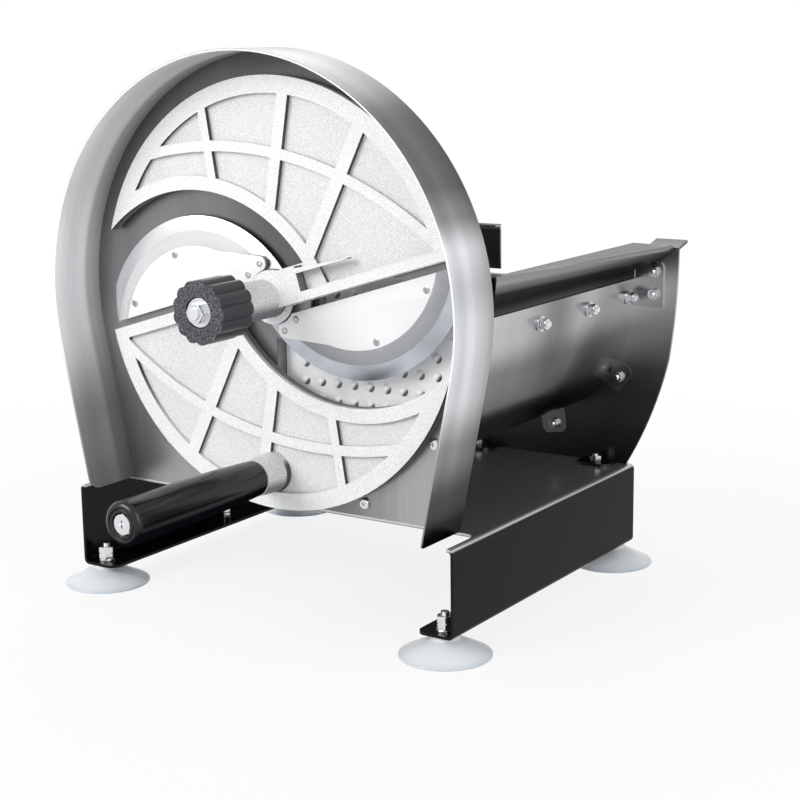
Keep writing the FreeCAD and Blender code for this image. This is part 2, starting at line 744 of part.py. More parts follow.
def rear_tab_places():
    """Screw place and direction of the lower tabs at the rear of the trough."""
    places = []
    for angle, out in REAR_TABS:
        x, z = on_arc(round_center(), TROUGH_ROUND + out, angle)
        places.append((x, z, angle))
    return places


def feed_trough():
    """Sheet metal trough with mounting tabs at both ends."""
    y0 = DOUBLER_REAR
    y1 = REAR_PLATE_Y
    shell = trough_block(y0, y1, -SHEET)
    radius, angle = PLATE_SCREWS[1]
    x, z = on_arc((0, 0), radius, angle)
    below = round_center()[1] - TROUGH_ROUND - z
    shell = shell.fuse(tab(x, z, y0, y0 + SHEET, -90.0, below + SHEET))
    for x, z, angle in rear_tab_places():
        shell = shell.fuse(tab(x, z, y1 - SHEET, y1, angle, TAB_ROOT))
    top = block(TROUGH_R - TOP_TAB_IN, TOP_TAB_X + TAB_REACH, y1 - SHEET, y1, TOP_TAB_LOW, TOP_TAB_HIGH)
    corner = [e for e in top.Edges if abs(e.Length - SHEET) < 0.01 and e.CenterOfMass.z > 0
              and e.CenterOfMass.x > TOP_TAB_X]
    top = top.makeFillet(TAB_REACH, corner)
    for z in TOP_TAB_BOLTS:
        top = top.cut(rod(M4_R + HOLE_GAP, y1 - SHEET - 1, y1 + 1, TOP_TAB_X, z))
    top = top.cut(trough_block(y1 - SHEET - 1, y1 + 1, 0.0, LEFT_TOP, RIGHT_TOP + 20))
    shell = shell.fuse(top)
    shell = shell.cut(trough_block(y0 - 1, y1 + 1, 0.0, LEFT_TOP + 4, RIGHT_TOP + 4))
    flange = trough_block(y0, y0 + SHEET, 0.0, LEFT_TOP, RIGHT_TOP)
    shell = shell.fuse(flange.cut(feed_opening(y0 - 1, y0 + SHEET + 1)))
    for y in RAIL_BOLTS_Y:
        shell = shell.cut(bolt_hole(y))
    for radius, angle in PLATE_SCREWS[:2]:
        x, z = on_arc((0, 0), radius, angle)
        shell = shell.cut(rod(M4_R + HOLE_GAP, y0 - 1, y0 + SHEET + 1, x, z))
    return lift(shell.removeSplitter())


def cross_rod(radius, y, x0, x1):
    """Cylinder along x at the height of the rail bolts."""
    return Part.makeCylinder(radius, x1 - x0, V(x0, y, RAIL_BOLT_Z), V(1, 0, 0))


def bolt_hole(y):
    """Cutter for one bolt hole through strip, rail and trough wall."""
    return cross_rod(M4_R + HOLE_GAP, y, TROUGH_R - BOLT_CUT_IN, TROUGH_R + BOLT_CUT_OUT)


def ring_part(r0, r1, z0, z1, y0, y1):
    """Right hand part of a ring around the disc axis between two heights."""
    ring = rod(r1, y0, y1).cut(rod(r0, y0, y1))
    return ring.common(block(0, r1 + 1, y0, y1, z0, z1))


def bend_points(before, corner, after, radius):
    """Three points that stand for the rounded bend at a corner."""
    c = V(corner[0], corner[1], 0)
    one = (V(before[0], before[1], 0) - c).normalize()
    two = (V(after[0], after[1], 0) - c).normalize()
    half = one.getAngle(two) / 2
    reach = radius / math.tan(half)
    middle = c + (one + two).normalize() * (radius / math.sin(half) - radius)
    first = c + one * reach
    last = c + two * reach
    return [(first.x, first.y), (middle.x, middle.y), (last.x, last.y)]


def strip_outline(points, thickness, y):
    """Closed outline of a bent strip; the thickness lies to the right of the path."""
    path = [V(x, y, z) for x, z in points]
    normals = []
    for a, b in zip(path, path[1:]):
        along = (b - a).normalize()
        normals.append(V(along.z, 0, -along.x))
    inner = [path[0] + normals[0] * thickness]
    for k in range(1, len(normals)):
        both = normals[k - 1] + normals[k]
        inner.append(path[k] + both * (2 * thickness / both.dot(both)))
    inner.append(path[-1] + normals[-1] * thickness)
    return Part.makePolygon(path + inner[::-1] + [path[0]])


def rail_outline(y, edge, lip):
    """Outline of the rail at one end: leg, roof, rounded bend and lip."""
    corner = (RAIL_FACE - SHEET, RAIL_TOP)
    points = [(RAIL_FACE - SHEET, 0.0), corner]
    points += bend_points(corner, edge, lip, RAIL_ROUND)
    points.append(lip)
    return strip_outline(points, SHEET, y)


def rail():
    """Folded strip on the trough wall that widens towards the rear."""
    y0 = DOUBLER_REAR + SHEET + END_GAP
    y1 = REAR_PLATE_Y - SHEET - END_GAP
    leg = ring_part(RAIL_FACE - SHEET, RAIL_FACE, RAIL_LOW, 0, y0, y1)
    ends = [rail_outline(y0, RAIL_FRONT_EDGE, RAIL_FRONT_LIP),
            rail_outline(y1, RAIL_REAR_EDGE, RAIL_REAR_LIP)]
    strip = leg.fuse(Part.makeLoft(ends, True, True)).removeSplitter()
    for y in RAIL_BOLTS_Y:
        strip = strip.cut(bolt_hole(y))
    return lift(strip)


def guide_strip():
    """Plastic strip inside the trough that guides the pusher and the fruit."""
    strip = ring_part(STRIP_FACE - STRIP_T, STRIP_FACE, RAIL_LOW, STRIP_TOP,
                      DOUBLER_REAR + SHEET + END_GAP, REAR_PLATE_Y - STRIP_SHORT)
    for y in RAIL_BOLTS_Y:
        strip = strip.cut(bolt_hole(y))
        strip = strip.cut(cross_rod(M4_HEAD_R + HOLE_GAP, y, TROUGH_R - BOLT_CUT_IN, head_seat_x()))
    return lift(strip)


def head_seat_x():
    """Where the heads of the rail bolts bear on the strip."""
    return STRIP_FACE - STRIP_T + STRIP_SINK


def rail_bolts():
    """Bolts through guide strip, rail and trough wall."""
    bolts = []
    head_x = head_seat_x()
    for y in RAIL_BOLTS_Y:
        bolt = cross_rod(M4_R, y, head_x, TROUGH_R + SHEET + RAIL_BOLT_TAIL)
        bolt = bolt.fuse(cross_rod(M4_HEAD_R, y, head_x - M4_HEAD_H, head_x))
        bolts.append(lift(bolt.removeSplitter()))
    return bolts


def rail_nuts():
    """Washers and lock nuts of the rail bolts on the outside of the trough."""
    shapes = []
    face = TROUGH_R + SHEET - SEAT_IN
    for y in RAIL_BOLTS_Y:
        seat = cross_rod(SEAT_R, y, face, face + SEAT_T)
        seat = seat.cut(cross_rod(M4_R, y, face, face + SEAT_T))
        seat = seat.cut(rod(TROUGH_R + SHEET, y - SEAT_R - 1, y + SEAT_R + 1))
        shapes.append(lift(seat))
        base = V(face + SEAT_T, y, RAIL_BOLT_Z)
        shapes.append(lift(nut(M4_NUT_AF, M4_LOCK_NUT_H, M4_R, base, V(1, 0, 0))))
    return shapes


# Rear plate

def rear_plate():
    """Shield shaped end plate with a U-shaped opening, ears and a foot flange."""
    y0 = REAR_PLATE_Y
    y1 = REAR_PLATE_Y + PLATE
    edges = [
        seg((SHIELD_LEFT, SHIELD_EAR[1]), (SHIELD_EAR[0], SHIELD_EAR[1])),
        arc3(SHIELD_EAR, SHIELD_SIDE, SHIELD_WAIST),
        arc3(SHIELD_WAIST, SHIELD_LOWER, SHIELD_FOOT),
        seg(SHIELD_FOOT, (SHIELD_LEFT, SHIELD_FOOT[1])),
        seg((SHIELD_LEFT, SHIELD_FOOT[1]), (SHIELD_LEFT, SHIELD_EAR[1])),
    ]
    plate = prism(edges, y0, y1)
    plate = plate.cut(trough_block(y0 - 1, y1 + 1, 0.0, LEFT_TOP + OPEN_LEFT_RISE, RIGHT_TOP + OPEN_ABOVE))
    plate = plate.cut(block(TROUGH_STEP_X, EAR_INNER, y0 - 1, y1 + 1, RIGHT_TOP + OPEN_RIGHT_RISE, WIDE))
    foot = SHIELD_FOOT[1]
    for x, y in FOOT_BOLTS:
        flange = block(x - FOOT_FLANGE_HALF, x + FOOT_FLANGE_HALF, y0 - FOOT_FLANGE, y1, foot, foot + PLATE)
        corner = [e for e in flange.Edges if abs(e.Length - PLATE) < 0.01
                  and abs(e.CenterOfMass.y - y0 + FOOT_FLANGE) < 0.1]
        plate = plate.fuse(flange.makeFillet(FOOT_FLANGE_CORNER, corner))
        plate = plate.cut(post(M5_R + HOLE_GAP, foot - 1, foot + PLATE + 1, x, y))
    top = SHIELD_EAR[1]
    for x0, x1 in ((SHIELD_LEFT, TROUGH_STEP_X - 2.0), (EAR_INNER, SHIELD_EAR[0])):
        side = [V(x0, y0, top - PLATE), V(x0, y1 + EAR_LIP, top + EAR_RISE - PLATE),
                V(x0, y1 + EAR_LIP, top + EAR_RISE), V(x0, y0, top), V(x0, y0, top - PLATE)]
        lip = Part.Face(Part.makePolygon(side)).extrude(V(x1 - x0, 0, 0))
        plate = plate.fuse(lip)
    for x, z, angle in rear_tab_places():
        plate = plate.cut(rod(M4_R + HOLE_GAP, y0 - 1, y1 + 1, x, z))
    for z in TOP_TAB_BOLTS:
        plate = plate.cut(rod(M4_R + HOLE_GAP, y0 - 1, y1 + 1, TOP_TAB_X, z))
    return lift(plate.removeSplitter())


def tab_places():
    """Screw places of the trough on the rear plate."""
    return [(x, z) for x, z, angle in rear_tab_places()] + [(TOP_TAB_X, z) for z in TOP_TAB_BOLTS]


def tab_bolts():
    """Pan head bolts through rear plate and trough tabs, heads at the rear."""
    shapes = []
    for x, z in tab_places():
        base = V(x, REAR_PLATE_Y + PLATE, z)
        screw = pan_screw(M4_R, M4_HEAD_R, M4_HEAD_H, PLATE + SHEET + TAB_BOLT_TAIL, base, V(0, -1, 0))
        shapes.append(lift(screw))
    return shapes


def tab_nuts():
    """Nuts on the front of the trough tabs."""
    return [lift(nut(M4_NUT_AF, M4_NUT_H, M4_R, V(x, REAR_PLATE_Y - SHEET, z), V(0, -1, 0)))
            for x, z in tab_places()]


# Disc

def opening_cutter(y0, y1):
    """Upper D-shaped opening of the casting, open at the rim."""
    cutter = rod(CRESCENT_R, y0, y1, CRESCENT_C[0], CRESCENT_C[1])
    cutter = cutter.common(block(-WIDE, WIDE, y0, y1, CAST_SLOT, WIDE))
    cutter = cutter.cut(rod(HUB_DISC_R, y0, y1))
    return cutter.cut(block(ARM_CUT_U[0], ARM_CUT_U[1], y0, y1, 0, ARM_TOP_V))


def lower_cutter(y0, y1):
    """Lower D-shaped opening: the upper one turned, without the arm."""
    cutter = rod(CRESCENT_R, y0, y1, CRESCENT_C[0], CRESCENT_C[1])
    cutter = cutter.common(block(-WIDE, WIDE, y0, y1, CAST_SLOT, WIDE))
    return half_turned(cutter.cut(rod(HUB_DISC_R, y0, y1)))


def pocket_cutter():
    """Shallow pockets between the ribs of one half of the casting."""
    y0 = -1.0
    y1 = POCKET_DEPTH
    zone = rod(POCKET_RIM_R, y0, y1)
    zone = zone.cut(rod(POCKET_ARC_R, y0, y1, CRESCENT_C[0], CRESCENT_C[1]))
    zone = zone.common(block(-WIDE, WIDE, y0, y1, POCKET_LOW, WIDE))
    mid = rod(MID_RIB_R + MID_RIB_W / 2, y0, y1, MID_RIB_C[0], MID_RIB_C[1])
    mid = mid.cut(rod(MID_RIB_R - MID_RIB_W / 2, y0, y1, MID_RIB_C[0], MID_RIB_C[1]))
    zone = zone.cut(mid)
    for angle, width in RIBS:
        rib = block(0, WIDE, y0, y1, 0, width)
        rib.rotate(V(0, 0, 0), Y_AXIS, -angle)
        rib.translate(V(RIB_FOCUS[0], 0, RIB_FOCUS[1]))
        zone = zone.cut(rib)
    return zone.cut(rod(HUB_DISC_R + HUB_RING, y0, y1))


def arm():
    """Raised block and two ribs that stiffen the right hand arm."""
    y0 = -ARM_HEIGHT
    left = ARM_CUT_U[0]
    block_part = block(0, ARM_BLOCK_U, y0, 0, MAIN_RIB_TOP, ARM_TOP_V - ARM_STEP)
    upper = polygon([(left, ARM_TOP_V), (ARM_TIP[0], ARM_TIP[1] + UPPER_RIB_TIP), ARM_TIP,
                     (ARM_BLOCK_U, UPPER_RIB_LOW), (left, UPPER_RIB_LOW)], y0, 0)
    end = math.sqrt(RIM_R ** 2 - MAIN_RIB_LOW ** 2) - 1
    main_rib = block(0, end, y0, 0, MAIN_RIB_LOW, MAIN_RIB_TOP)
    whole = block_part.fuse([upper, main_rib])
    low = -ARM_TOP_V - 1
    side = [V(low, y0, low), V(ARM_BLOCK_U, y0, low), V(RIM_R, -ARM_END_HEIGHT, low),
            V(RIM_R, 0, low), V(low, 0, low), V(low, y0, low)]
    wedge = Part.Face(Part.makePolygon(side)).extrude(V(0, 0, -2 * low))
    return whole.common(wedge)


def thickness_casting():
    """S-shaped ribbed casting: two crescents, hub, arm and handle boss."""
    body = rod(RIM_R, 0, DISC_T)
    body = body.cut(opening_cutter(-1, DISC_T + 1))
    body = body.cut(lower_cutter(-1, DISC_T + 1))
    body = body.cut(rod(HUB_POCKET_R, HUB_T, DISC_T + 1))
    pockets = pocket_cutter()
    body = body.cut(pockets)
    body = body.cut(half_turned(pockets))
    body = body.fuse([arm(), rod(BOSS_R, BOSS_FRONT, 0),
                      cone(HANDLE_BOSS_R, HANDLE_BOSS_R + HANDLE_BOSS_FLARE, HANDLE_BOSS_FRONT,
                           POCKET_DEPTH, HANDLE_U, HANDLE_V)])
    body = body.cut(rod(SHAFT_R + RUN_GAP, BOSS_FRONT - 1, DISC_T + 1))
    slot_u = PIN_OUTER + PIN_END_GAP
    slot_v = PIN_R + RUN_GAP
    body = body.cut(block(-slot_u, slot_u, PIN_Y - PIN_R - PIN_END_GAP, DISC_T + 1, -slot_v, slot_v))
    for side in (-1, 1):
        body = body.cut(rod(RETAINER_SCREW_R, BOSS_FRONT - 1, BOSS_FRONT + RETAINER_SCREW_DEEP,
                            0, side * RETAINER_SCREW_V))
    body = body.cut(rod(SPINDLE_R, HANDLE_BOSS_FRONT - 1, SPINDLE_REAR, HANDLE_U, HANDLE_V))
    return turned(body.removeSplitter())


def blade_zone(y0, y1):
    """Region of the upper D that holder plate and blade may fill."""
    zone = rod(BLADE_LIMIT_R, y0, y1).common(block(-WIDE, WIDE, y0, y1, BLADE_SLOT, WIDE))
    return zone.cut(rod(HUB_DISC_R + TURN_GAP, y0, y1))


def blade():
    """Crescent blade with a ground bevel; the edge lies on the rear face."""
    x, z = BLADE_C
    flat = BLADE_REAR - BLADE_LAND
    body = cone(BEVEL_R, BLADE_EDGE_R, BLADE_FRONT, flat, x, z)
    body = body.fuse(rod(BLADE_EDGE_R, flat, BLADE_REAR, x, z))
    body = body.common(blade_zone(BLADE_FRONT, BLADE_REAR))
    body = body.cut(rod(BLADE_INNER_R, BLADE_FRONT - 1, BLADE_REAR + 1, x, z))
    for angle in BLADE_SCREW_ANGLES:
        sx, sz = on_arc(BLADE_C, BLADE_SCREW_R, angle)
        body = body.cut(rod(SCREW3_R, BLADE_FRONT - 1, BLADE_REAR + 1, sx, sz))
    for angle in HUB_SCREW_ANGLES:
        sx, sz = on_arc((0, 0), HUB_SCREW_R, angle)
        body = body.cut(rod(SCREW3_R, BLADE_FRONT - 1, BLADE_REAR + 1, sx, sz))
    return body.removeSplitter()


def blade_holder():
    """D-shaped plate in front of the blade with a sloping edge."""
    x, z = BLADE_C
    body = cone(HOLDER_TOP_R, BEVEL_R, HOLDER_FRONT, BLADE_FRONT, x, z)
    lug_x, lug_z = on_arc((0, 0), HUB_SCREW_R, HUB_SCREW_ANGLES[0])
    body = body.fuse(rod(HUB_LUG_R, HOLDER_FRONT, BLADE_FRONT, lug_x, lug_z))
    body = body.common(blade_zone(HOLDER_FRONT, BLADE_FRONT))
    seat = rod(BLADE_INNER_R - BLADE_SEAT_GAP, BLADE_FRONT, BLADE_REAR, x, z)
    seat = seat.common(blade_zone(BLADE_FRONT, BLADE_REAR))
    seat = seat.cut(rod(FLANGE_R + TURN_GAP, BLADE_FRONT, BLADE_REAR))
    body = body.fuse(seat)
    for angle in BLADE_SCREW_ANGLES:
        sx, sz = on_arc(BLADE_C, BLADE_SCREW_R, angle)
        body = body.cut(screw3(sx, sz, BLADE_FRONT + 1))
    for angle in HUB_SCREW_ANGLES:
        sx, sz = on_arc((0, 0), HUB_SCREW_R, angle)
        body = body.cut(screw3(sx, sz, BLADE_FRONT + 1))
    return body.removeSplitter()


def screw3(x, z, end):
    """Small countersunk screw with its head flush in the holder plate."""
    head = cone(SCREW3_HEAD_R, SCREW3_R, HOLDER_FRONT, HOLDER_FRONT + SCREW3_HEAD_H, x, z)
    return head.fuse(rod(SCREW3_R, HOLDER_FRONT + SCREW3_HEAD_H, end, x, z)).removeSplitter()


def blade_screw_set():
    """Countersunk screws of one blade in the disc frame."""
    shapes = []
    for angle in BLADE_SCREW_ANGLES:
        x, z = on_arc(BLADE_C, BLADE_SCREW_R, angle)
        shapes.append(screw3(x, z, BLADE_REAR))
    for angle in HUB_SCREW_ANGLES:
        x, z = on_arc((0, 0), HUB_SCREW_R, angle)
        shapes.append(screw3(x, z, FLANGE_REAR))
    return shapes


def blade_screws():
    """All countersunk screws of both blades."""
    upper = blade_screw_set()
    lower = [half_turned(screw) for screw in upper]
    return [turned(screw) for screw in upper + lower]


# Shaft line

def drive_shaft():
    """Stepped shaft with the flange that carries both blades."""
    flange = rod(FLANGE_R, BLADE_REAR, FLANGE_REAR)
    limit = rod(BLADE_EDGE_R - FLANGE_INSET, BLADE_REAR, FLANGE_REAR, BLADE_C[0], BLADE_C[1])
    wings = flange.common(limit).common(block(-WIDE, WIDE, BLADE_REAR, FLANGE_REAR, 0, WIDE))
    flange = rod(FLANGE_CORE_R, BLADE_REAR, FLANGE_REAR).fuse([wings, half_turned(wings)])
    shaft = rod(SHAFT_R, SHAFT_FRONT, BLADE_REAR)
    shaft = shaft.fuse([flange, rod(SHAFT_R, FLANGE_REAR, shaft_shoulder()),
                        rod(END_STUD_R, shaft_shoulder(), shaft_end())])
    shaft = shaft.cut(rod(SCREW_R + RUN_GAP, SHAFT_FRONT - 1, SCREW_REAR + 1))
    for pin in drive_pin_pair():
        shaft = shaft.cut(pin)
    for side in (-1, 1):
        for angle in HUB_SCREW_ANGLES:
            x, z = on_arc((0, 0), HUB_SCREW_R, angle)
            shaft = shaft.cut(rod(SCREW3_R, BLADE_REAR - 1, FLANGE_REAR + 1, side * x, side * z))
    return turned(shaft.removeSplitter())


def shaft_shoulder():
    """Where the shaft steps down behind the rear bush."""
    return HOUSING_END + BUSH_FLANGE_T + TURN_GAP


def shaft_end():
    """Rear end of the shaft."""
    return shaft_shoulder() + END_WASHER_T + END_NUT_H + 2.0


def drive_pin_pair():
    """Two short cross pins of the shaft in the disc frame."""
    length = PIN_OUTER - PIN_INNER
    return [Part.makeCylinder(PIN_R, length, V(side * PIN_INNER, PIN_Y, 0), V(side, 0, 0))
            for side in (-1, 1)]


def drive_pins():
    """Cross pins of the shaft that turn the casting and let it slide."""
    return [turned(pin) for pin in drive_pin_pair()]


def end_washer():
    """Thrust washer at the rear end of the shaft."""
    y0 = shaft_shoulder()
    return lift(washer(END_WASHER_R, END_STUD_R, END_WASHER_T, V(0, y0, 0), V(0, 1, 0)))


def end_nut():
    """Lock nut at the rear end of the shaft."""
    y0 = shaft_shoulder() + END_WASHER_T
    return lift(nut(END_NUT_AF, END_NUT_H, END_STUD_R, V(0, y0, 0), V(0, 1, 0)))


def bearing_housing():
    """Flanged housing behind the back plate."""
    body = rod(HOUSING_R, DOUBLER_REAR, HOUSING_END)
    body = body.fuse(rod(HOUSING_FLANGE_R, DOUBLER_REAR, DOUBLER_REAR + HOUSING_FLANGE_T))
    body = body.cut(rod(BUSH_R, DOUBLER_REAR - 1, HOUSING_END + 1))
    for x, z in housing_screw_places():
        body = body.cut(rod(M4_R, DOUBLER_REAR - 1, DOUBLER_REAR + HOUSING_FLANGE_T + 1, x, z))
    return lift(body.removeSplitter())


def housing_screws():
    """Countersunk screws that hold the bearing housing from the front."""
    shapes = []
    for x, z in housing_screw_places():
        end = DOUBLER_REAR + HOUSING_FLANGE_T
        shapes.append(lift(rod(M4_R, BACK_FRONT, end, x, z)))
    return shapes


def front_bush():
    """Flanged bush that also takes the thrust of the shaft flange."""
    body = rod(BUSH_R, DOUBLER_REAR, DOUBLER_REAR + BUSH_L)
    body = body.fuse(rod(BUSH_FLANGE_R, BUSH_FRONT, DOUBLER_REAR))
    return lift(body.cut(rod(SHAFT_R + RUN_GAP, 0, HOUSING_END)).removeSplitter())


def rear_bush():
    """Flanged bush at the rear end of the housing."""
    body = rod(BUSH_R, HOUSING_END - BUSH_L, HOUSING_END)
    body = body.fuse(rod(BUSH_FLANGE_R, HOUSING_END, HOUSING_END + BUSH_FLANGE_T))
    return lift(body.cut(rod(SHAFT_R + RUN_GAP, 0, shaft_end())).removeSplitter())


def adjusting_screw():
    """Screw that moves the casting; its collar turns behind the retainer."""
    front = BOSS_FRONT + TURN_GAP
    body = rod(SCREW_R, SCREW_FRONT, SCREW_REAR)
    return turned(body.fuse(rod(SCREW_COLLAR_R, front, front + SCREW_COLLAR_T)).removeSplitter())


def retainer():
    """Ring on the boss of the casting that holds the collar of the screw."""
    ring = rod(RETAINER_R, BOSS_FRONT - RETAINER_T, BOSS_FRONT)
    front = BOSS_FRONT - RETAINER_T - 1
    ring = ring.cut(rod(SCREW_R + RUN_GAP, front, BOSS_FRONT + 1))
    for side in (-1, 1):
        ring = ring.cut(rod(RETAINER_SCREW_R, front, BOSS_FRONT + 1, 0, side * RETAINER_SCREW_V))
    return turned(ring)


def retainer_screws():
    """Two grub screws that hold the retainer on the boss."""
    return [turned(rod(RETAINER_SCREW_R, BOSS_FRONT - RETAINER_T, BOSS_FRONT + RETAINER_SCREW_DEEP,
                       0, side * RETAINER_SCREW_V)) for side in (-1, 1)]


def knob():
    """Fluted adjusting knob with a recess in the front face."""
    body = rod(KNOB_CORE_R, KNOB_FRONT, KNOB_LOBE_END)
    for i in range(KNOB_LOBES):
        x, z = on_arc((0, 0), KNOB_R - KNOB_LOBE_R, i * 360.0 / KNOB_LOBES)
        body = body.fuse(rod(KNOB_LOBE_R, KNOB_FRONT, KNOB_LOBE_END, x, z))
    body = body.removeSplitter()
    body = body.fuse(cone(KNOB_NECK_R, KNOB_NECK_R - KNOB_NECK_TAPER, KNOB_LOBE_END, KNOB_REAR))
    body = body.cut(rod(KNOB_RECESS_R, KNOB_FRONT - 1, KNOB_FRONT + KNOB_RECESS))
    body = body.cut(rod(SCREW_R, KNOB_FRONT - 1, KNOB_REAR + 1))
    return lift(body.removeSplitter())


def knob_washer():
    """Washer in the recess of the knob."""
    y1 = KNOB_FRONT + KNOB_RECESS
    return lift(washer(KNOB_WASHER_R, SCREW_R, WASHER_T, V(0, y1 - WASHER_T, 0), V(0, 1, 0)))


def knob_nut():
    """Nut in the recess of the knob."""
    y1 = KNOB_FRONT + KNOB_RECESS - WASHER_T
    return lift(nut(KNOB_NUT_AF, KNOB_NUT_H, SCREW_R, V(0, y1, 0), V(0, -1, 0)))


# Crank handle

def handle_spindle():
    """Pin in the handle boss on which the grip turns."""
    pin = rod(SPINDLE_R, GRIP_SHOULDER - TURN_GAP, SPINDLE_REAR, HANDLE_U, HANDLE_V)
    bore = rod(M5_R, GRIP_SHOULDER - 1, GRIP_SHOULDER + SPINDLE_BORE, HANDLE_U, HANDLE_V)
    return turned(pin.cut(bore))


def grip():
    """Turned grip, slightly barrelled, with a counterbore for the end screw."""
    short = GRIP_ROUND * (1 - math.sqrt(0.5))
    round_start = GRIP_FRONT + GRIP_ROUND
    edges = [
        Part.LineSegment(V(0, GRIP_REAR, 0), V(GRIP_REAR_R, GRIP_REAR, 0)).toShape(),
        Part.Arc(V(GRIP_REAR_R, GRIP_REAR, 0), V(GRIP_R - GRIP_SWELL, GRIP_MID, 0),
                 V(GRIP_R, GRIP_FULL, 0)).toShape(),
        Part.LineSegment(V(GRIP_R, GRIP_FULL, 0), V(GRIP_R, round_start, 0)).toShape(),
        Part.Arc(V(GRIP_R, round_start, 0), V(GRIP_R - short, GRIP_FRONT + short, 0),
                 V(GRIP_R - GRIP_ROUND, GRIP_FRONT, 0)).toShape(),
        Part.LineSegment(V(GRIP_R - GRIP_ROUND, GRIP_FRONT, 0), V(0, GRIP_FRONT, 0)).toShape(),
        Part.LineSegment(V(0, GRIP_FRONT, 0), V(0, GRIP_REAR, 0)).toShape(),
    ]
    body = Part.Face(Part.Wire(edges)).revolve(V(0, 0, 0), Y_AXIS, 360)
    body = body.cut(rod(SPINDLE_R + RUN_GAP, GRIP_FRONT - 1, GRIP_REAR + 1))
    body = body.cut(rod(GRIP_BORE_R, GRIP_FRONT - 1, GRIP_SHOULDER))
    groove = rod(GROOVE_OUTER_R, GRIP_FRONT, GRIP_FRONT + GROOVE_DEPTH)
    body = body.cut(groove.cut(rod(GROOVE_INNER_R, GRIP_FRONT, GRIP_FRONT + GROOVE_DEPTH)))
    body.translate(V(HANDLE_U, 0, HANDLE_V))
    return turned(body)


def grip_washer():
    """Washer between spindle end and screw head."""
    y1 = GRIP_SHOULDER - TURN_GAP
    ring = washer(GRIP_WASHER_R, M5_R, WASHER_T, V(HANDLE_U, y1 - WASHER_T, HANDLE_V), V(0, 1, 0))
    return turned(ring)


def grip_screw():
    """Countersunk screw in the end of the spindle."""
    y1 = GRIP_SHOULDER - TURN_GAP - WASHER_T
    head = cone(GRIP_SCREW_HEAD_R, M5_R, GRIP_FRONT + GRIP_SCREW_SINK, y1, HANDLE_U, HANDLE_V)
    return turned(head.fuse(rod(M5_R, y1, GRIP_SCREW_END, HANDLE_U, HANDLE_V)).removeSplitter())


# Pusher

def pusher_section(y0, y1, top):
    """Section of the pusher: the feed opening with a gap all round."""
    body = trough_block(y0, y1, SLIDE_GAP, top, LEFT_TOP - 1)
    body = body.common(rod(PUSH_RIGHT_R, y0, y1))
    return body.common(block(-WIDE, WIDE, y0, y1, -WIDE, top))


def pusher_face():
    """White plastic plate with rows of domes that hold the fruit."""
    y1 = PUSH_FACE + PUSH_FACE_T
    body = pusher_section(PUSH_FACE, y1, LEFT_TOP - 2)
    keep = pusher_section(PUSH_FACE - DIMPLE_H - 1, y1, LEFT_TOP - 2)
    ball_r = (DIMPLE_R ** 2 + DIMPLE_H ** 2) / (2 * DIMPLE_H)
    domes = []
    for i in range(DIMPLE_ROWS):
        for j in range(DIMPLE_ROWS):
            x = i * DIMPLE_DX
            z = DIMPLE_MID_Z + (j - DIMPLE_ROWS // 2) * DIMPLE_DZ
            near = rod(DIMPLE_R + DIMPLE_EDGE, PUSH_FACE, y1, x, z)
            if near.cut(keep).Volume < 1:
                ball = Part.makeSphere(ball_r, V(x, PUSH_FACE + ball_r - DIMPLE_H, z))
                domes.append(ball.common(rod(DIMPLE_R, PUSH_FACE - DIMPLE_H, PUSH_FACE + 1, x, z)))
    body = body.fuse(domes).removeSplitter()
    return lift(body)


def pusher_carriage():
    """Sheet metal carriage with an upright whose top edge is folded."""
    y0 = PUSH_FACE + PUSH_FACE_T
    floor = pusher_section(y0, PUSH_REAR, LEFT_TOP - 2)
    hollow = trough_block(y0 + SHEET, PUSH_REAR + 1, SLIDE_GAP + SHEET, LEFT_TOP + 5, LEFT_TOP + 5)
    hollow = hollow.common(rod(PUSH_RIGHT_R - SHEET, y0 + SHEET, PUSH_REAR + 1))
    body = floor.cut(hollow)
    x0 = TROUGH_STEP_X + SLIDE_GAP + SHEET
    upright = block(x0, PUSH_RIGHT_R - PUSH_UPRIGHT_IN, PUSH_REAR - SHEET, PUSH_REAR,
                    PUSH_UPRIGHT_LOW, PUSH_TOP)
    wing_x = PUSH_RIGHT_R + PUSH_WING_OUT
    upright = upright.fuse(block(PUSH_RIGHT_R - PUSH_WING_IN, wing_x, PUSH_REAR - SHEET,
                                 PUSH_REAR, PUSH_WING_LOW, PUSH_TOP))
    upright = upright.fuse(block(x0, wing_x, PUSH_REAR - PUSH_LIP,
                                 PUSH_REAR, PUSH_TOP - SHEET, PUSH_TOP))
    return lift(body.fuse(upright).removeSplitter())


def pusher_handle():
    """Bow handle at the rear of the carriage."""
    z = PUSH_HANDLE_Z
    y1 = PUSH_REAR + PUSH_HANDLE_BACK
    x0, x1 = PUSH_HANDLE_X
    legs = [rod(PUSH_LEG_R, PUSH_REAR, y1, x, z) for x in (x0, x1)]
    length = x1 - x0 + 2 * PUSH_HANDLE_OVER
    bar = Part.makeCylinder(PUSH_HANDLE_R, length, V(x0 - PUSH_HANDLE_OVER, y1, z), V(1, 0, 0))
    bar = bar.makeFillet(PUSH_HANDLE_ROUND, [e for e in bar.Edges if len(e.Vertexes) == 1])
    return lift(legs[0].fuse([legs[1], bar]).removeSplitter())


# Build

